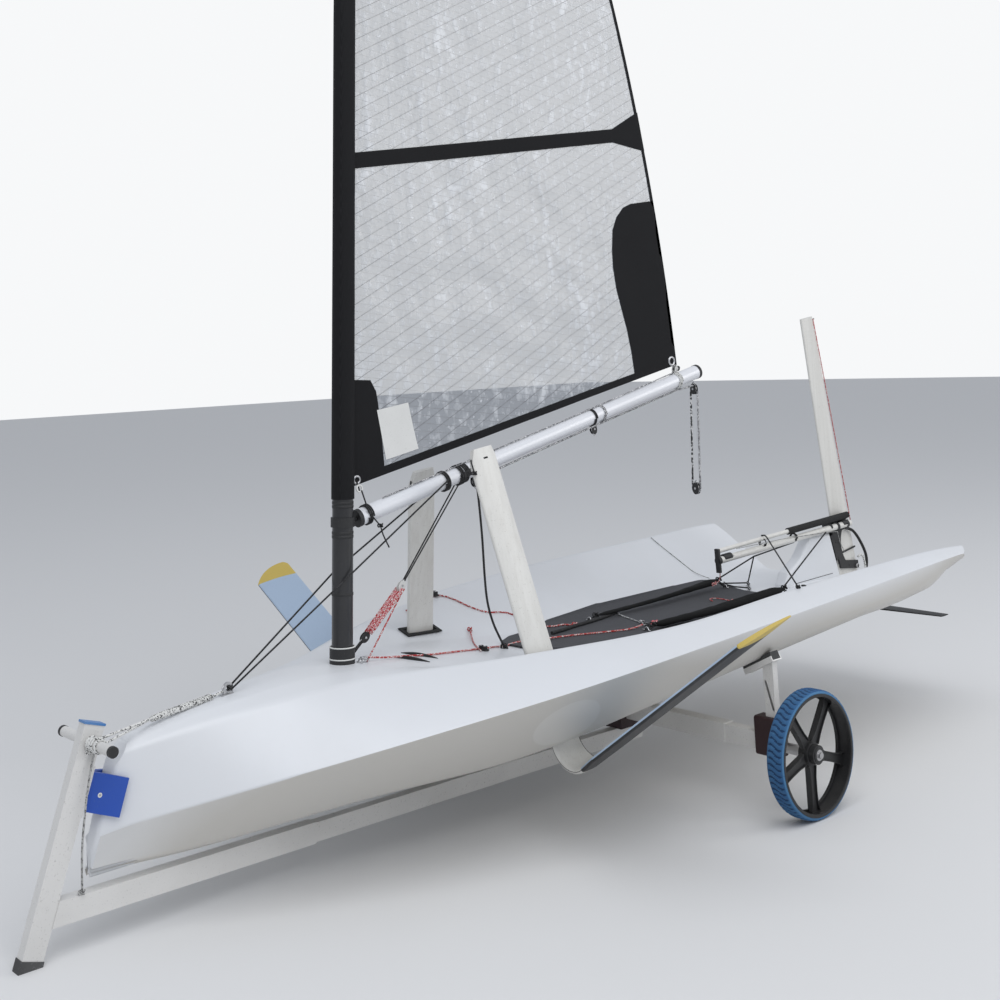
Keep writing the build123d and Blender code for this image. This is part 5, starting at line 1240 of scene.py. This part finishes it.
def makeFin():
    f = finSet
    foot, top, low = f["foot"], f["top"], f["lowZ"]

    def backX(z):
        return stationX(f["hinge"]) - (f["hingeZ"] - z) * math.tan(f["tilt"]) + f["back"]
    a, through, b = (Vector((stationX(foot + s), z)) for s, z in ((0.025, 0.556), (0.122, 0.610), (0.195, top)))
    arc = [a.lerp(through, t / 5) for t in range(5)] + [through.lerp(b, t / 5) for t in range(6)]
    outline = [(stationX(foot), low), (stationX(foot), 0.510)]
    outline += [(p.x, p.y - 0.004 * math.sin(math.pi * i / 10)) for i, p in enumerate(arc)]
    outline += [(backX(top), top), (backX(low), low)]
    fin = addPrism("finSkin", outline, -f["half"], f["half"], lambda u, v, w: Vector((u, w, v)), "boat", "gelcoat",
                   slot="hull_gelcoat")
    softenEdges(fin, 0.011, 4, 50)
    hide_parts("rudder_gantry")
    tilt = f["tilt"]
    up, ahead = Vector((math.sin(tilt), 0, math.cos(tilt))), Vector((math.cos(tilt), 0, -math.sin(tilt)))
    place = inFrame(Vector((stationX(f["hinge"]), 0, f["hingeZ"])), ahead, portward, up)
    shape = [(0.0345, -0.009), (0.0345, 0.009)]
    shape += [(0.009 * math.cos(t), 0.009 * math.sin(t)) for t in (math.pi / 2 + math.pi * k / 10 for k in range(11))]
    for name, start in f["gudgeons"]:
        addPrism(name, shape, start, start + f["gudgeonHeight"], place, "boat", "steel", 0.0012)
    for word, side in bothSides:
        line = [(-1.43 - 0.054 * i, side * 0.0302, 0.508 + 0.0014 * i) for i in range(6)]
        addTube("finLine" + word, line, 0.0012, "boat", "seal", 6)
        path = [(x, side * 0.031, deckHeight(x, side * 0.035) + 0.001)
                for x in (stationX(foot + 0.02 + 0.048 * i) for i in range(8))]
        addTube("finFillet" + word, path, 0.006, "boat", "gelcoat")


makeFin()

# strut trim: dark foam where the strut leaves the deck, a slot with a lashing near the top, a line round the elbow
trimSet = {"mouth": ((0.0672, 0.0192, 0.006), (0.0672, 0.0192, 0), (0.0598, 0.0098, 0), (0.0598, 0.0098, 0.006)),
           "probe": (0.080, 0.030), "overDeck": 0.0032, "slot": (-0.016, 0.016, 0.686, 0.692), "bend": 0.080,
           "bendTurn": 110.2, "elbowZ": 0.354, "edges": (("Fore", 0.0575), ("Aft", -0.0585))}


def makeCaseMouth(word, side):
    place, corners = inFrame(*strutFrame(side)), ((1, 1), (-1, 1), (-1, -1), (1, -1))
    probeU, probeV = trimSet["probe"]
    up = strutFrame(side)[3]
    lifts = []
    for u, v in corners:
        w = 0.0
        for turn in range(6):
            q = place(u * probeU, v * probeV, w)
            w += (deckHeight(q.x, q.y) + trimSet["overDeck"] - q.z) / up.z
        lifts.append(w)
    slopeU = (lifts[0] + lifts[3] - lifts[1] - lifts[2]) / (4 * probeU)
    slopeV = (lifts[0] + lifts[1] - lifts[2] - lifts[3]) / (4 * probeV)
    rings = [place(u * du, v * dv, sum(lifts) / 4 + slopeU * u * du + slopeV * v * dv - drop)
             for du, dv, drop in trimSet["mouth"] for u, v in corners]
    addPiece("caseMouth" + word, rings, ringFaces(4, 4, True), "boat", "seal", smooth=False)


def makeStrutTrim(word, side):
    base, ahead, across, up = strutFrame(side)
    base = base - up * (0.0 if side > 0 else strutSet["starboardDrop"])
    place, body = inFrame(base, ahead, up, across), "foil_" + word.lower()
    for label, way in (("A", 1), ("B", -1)):
        addPrism("strutSlot" + word + label, rectangle(*trimSet["slot"]), 0.0088 * way, 0.0106 * way, place, body,
                 "seal", 0.0004)
    loop = [place(0.050 + 0.012 * math.sin(t), 0.668 + 0.026 * math.cos(t), 0.014 * math.sin(t))
            for t in (2 * math.pi * k / 20 for k in range(21))]
    addTube("strutLashing" + word, loop, 0.0026, body, "ropeBlack")
    addKnot("strutLashingKnot" + word, place(0.058, 0.650, 0.010), 0.010, 0.005, body, "ropeBlack")
    makeCaseMouth(word, side)
    bend, turn = trimSet["bend"], math.radians(trimSet["bendTurn"])
    startZ = bend * math.tan(turn / 2) - trimSet["elbowZ"]
    toBlade = across if across.y * side > 0 else -across
    for name, edge in trimSet["edges"]:
        start = place(edge, startZ, 0)
        pivot = start + toBlade * bend
        path = [start + up * 0.10, start]
        path += [pivot - toBlade * (bend * math.cos(t)) - up * (bend * math.sin(t))
                 for t in (turn * k / 11 for k in range(1, 12))]
        addTube("elbowLine" + word + name, path, 0.0018, body, "seal", 6)


for word, side in bothSides:
    makeStrutTrim(word, side)

# bow: handle wraps, the two parts of the bow rope and their braided cover, the plates' rivets
bowSet = {"handle": (1.7580, 0, 0.5319), "meet": (1.575, 0.016, 0.556), "rivet": (1.752, 0.0672, 0.404),
          "wraps": (("handleWrap530", 0.030, 0.0170, 2.2, 0.0055), ("handleWrap544", 0.044, 0.0170, 2.2, 0.0055),
                    ("handleWrap472", -0.028, 0.0170, 2.2, 0.0055), ("bowRopeTurn58", 0.058, 0.0172, 1.3, 0.007),
                    ("bowRopeTurn80", 0.080, 0.0172, 1.3, 0.007)),
          "cover": ((1.50, 0.012, 0.563), (1.43, 0.006, 0.570), (1.375, 0.002, 0.575))}


def makeBow():
    handle, meet = Vector(bowSet["handle"]), Vector(bowSet["meet"])
    for name, y, radius, turns, pitch in bowSet["wraps"]:
        wrapRound(name, handle + portward * y, portward, radius, turns, pitch, 0.006, "boat", "ropeWhite")
    addKnot("handleKnot", handle + Vector((0.004, 0.036, -0.018)), 0.015, 0.006, "boat", "ropeWhite")
    cover = [meet] + [Vector(p) for p in bowSet["cover"]]
    ropes = {"bowRopeA": (0.007, handle + Vector((-0.006, 0.058, 0.014)), meet + Vector((0, 0.007, 0.004))),
             "bowRopeB": (0.007, handle + Vector((-0.008, 0.080, 0.004)), meet + Vector((0, -0.006, 0.0))),
             "bowRopeEnd": (0.008, cover[-1], (1.335, 0, 0.584))}
    for name, (rope, start, stop) in ropes.items():
        tautLine(name, [start, stop], rope, "boat", "ropeWhite")
    addTube("bowRopeCover", curvePoints(cover), 0.0085, "boat", "ropeWhite", 12)
    wrapRound("bowRopeLash", (1.472, 0.009, 0.5665), (1, 0.06, -0.10), 0.0085, 26, 0.0075, 0.004, "boat", "ropeWhite")
    ringAt("bowShackle", Vector((1.325, 0, 0.589)), (0, 1, 0.3), 0.012, 0.003, "boat", "steel")
    x, y, z = bowSet["rivet"]
    for word, way in bothSides:
        ringAt("plateRivetRing" + word, Vector((x, way * y, z)), portward, 0.0048, 0.0016, "boat", "clearPale")
        ballAt("plateRivet" + word, (x, way * y, z), (0.0032, 0.0014, 0.0032), "boat", "steel", 12)


makeBow()


# mast: wound bands below the sleeve, thin pale rings on the collar, and the tied line at the boom's nose
def makeMastTrim():
    axis = Vector((-math.tan(mastSet["lean"]), 0, 1)).normalized()
    for k, z in enumerate(mastSet["bandsZ"]):
        band = [Vector((mastX(z), 0, z)) + axis * way for way in (-0.005, -0.004, 0.004, 0.005)]
        addTube("mastBand" + str(k), band, mastSet["bandRadii"], "rig", "blackMoulding", 32)
    deckZ = deckHeight(mastX(0.59) + 0.06, 0) + 0.012
    rings = (("collarRing", mastX(0.600), deckZ, 0.0408), ("collarTop", mastX(0.640), 0.6385, 0.0395))
    for name, x, z, radius in rings:
        ringAt(name, Vector((x, 0, z)), axis, radius, 0.0022, "boat", "clearPale", 6, 48)
    tautLine("noseTieA", [(0.838, 0.030, 1.118), onBoom(0.02, 0.012, 0.030), (0.768, 0.034, 0.998)], 0.005, "rig",
             "ropeBlack")
    ringAt("noseShackle", Vector((0.842, 0.024, 1.124)), (0, 1, 0.2), 0.011, 0.003, "rig", "clearPale")
    tautLine("noseTieB", [(mastX(1.14) - 0.055, 0, 1.144), (0.842, 0.024, 1.118)], 0.005, "rig", "ropeBlack")
    addKnot("noseKnot", (0.768, 0.034, 1.000), 0.010, 0.005, "rig", "ropeBlack")


makeMastTrim()
print("trim ready")

# stage: pale floor, soft daylight and a white backdrop that only the camera sees
stageSet = {"floor": (0.74, 0.74, 0.74), "half": 40, "sky": (0.86, 0.90, 0.97), "skyLight": 0.60,
            "backdrop": (0.93, 0.94, 0.95),
            "panels": (("skyPanel", (3, 5, 9), 9, 520, (0.97, 0.98, 1)),
                       ("sidePanel", (-6, 6, 4), 4, 130, (1, 0.98, 0.95)))}


def makeStage():
    s = stageSet
    half = s["half"]
    plane = bpy.data.meshes.new("floor")
    plane.from_pydata([(x, y, 0) for x, y in rectangle(-half, half, -half, half)], [], [(0, 1, 2, 3)])
    plane.materials.append(newMaterial("paleFloor", Base_Color=s["floor"], Roughness=0.9)[0])
    linkPiece("floor", plane)
    scene.world = bpy.data.worlds.new("daylight")
    scene.world.use_nodes = True
    tree = scene.world.node_tree
    back = tree.nodes["Background"]
    feed(tree, back.inputs["Color"], s["sky"])
    feed(tree, back.inputs["Strength"], s["skyLight"])
    seen = addNode(tree, "Background", {"Color": s["backdrop"], "Strength": 1.0})
    path = tree.nodes.new("ShaderNodeLightPath").outputs["Is Camera Ray"]
    pick = addNode(tree, "MixShader", {0: path, 1: back.outputs[0], 2: seen.outputs[0]})
    feed(tree, tree.nodes["World Output"].inputs["Surface"], pick.outputs[0])
    for label, place, size, power, colour in s["panels"]:
        data = bpy.data.lights.new(label, "AREA")
        data.energy = power
        data.size = size
        data.color = colour
        lamp = linkPiece(label, data)
        lamp.location = place
        lamp.rotation_euler = (Vector((0, 0, 0.5)) - Vector(place)).to_track_quat("-Z", "Y").to_euler()
    scene.view_settings.view_transform = "Standard"


makeStage()
print("stage ready")
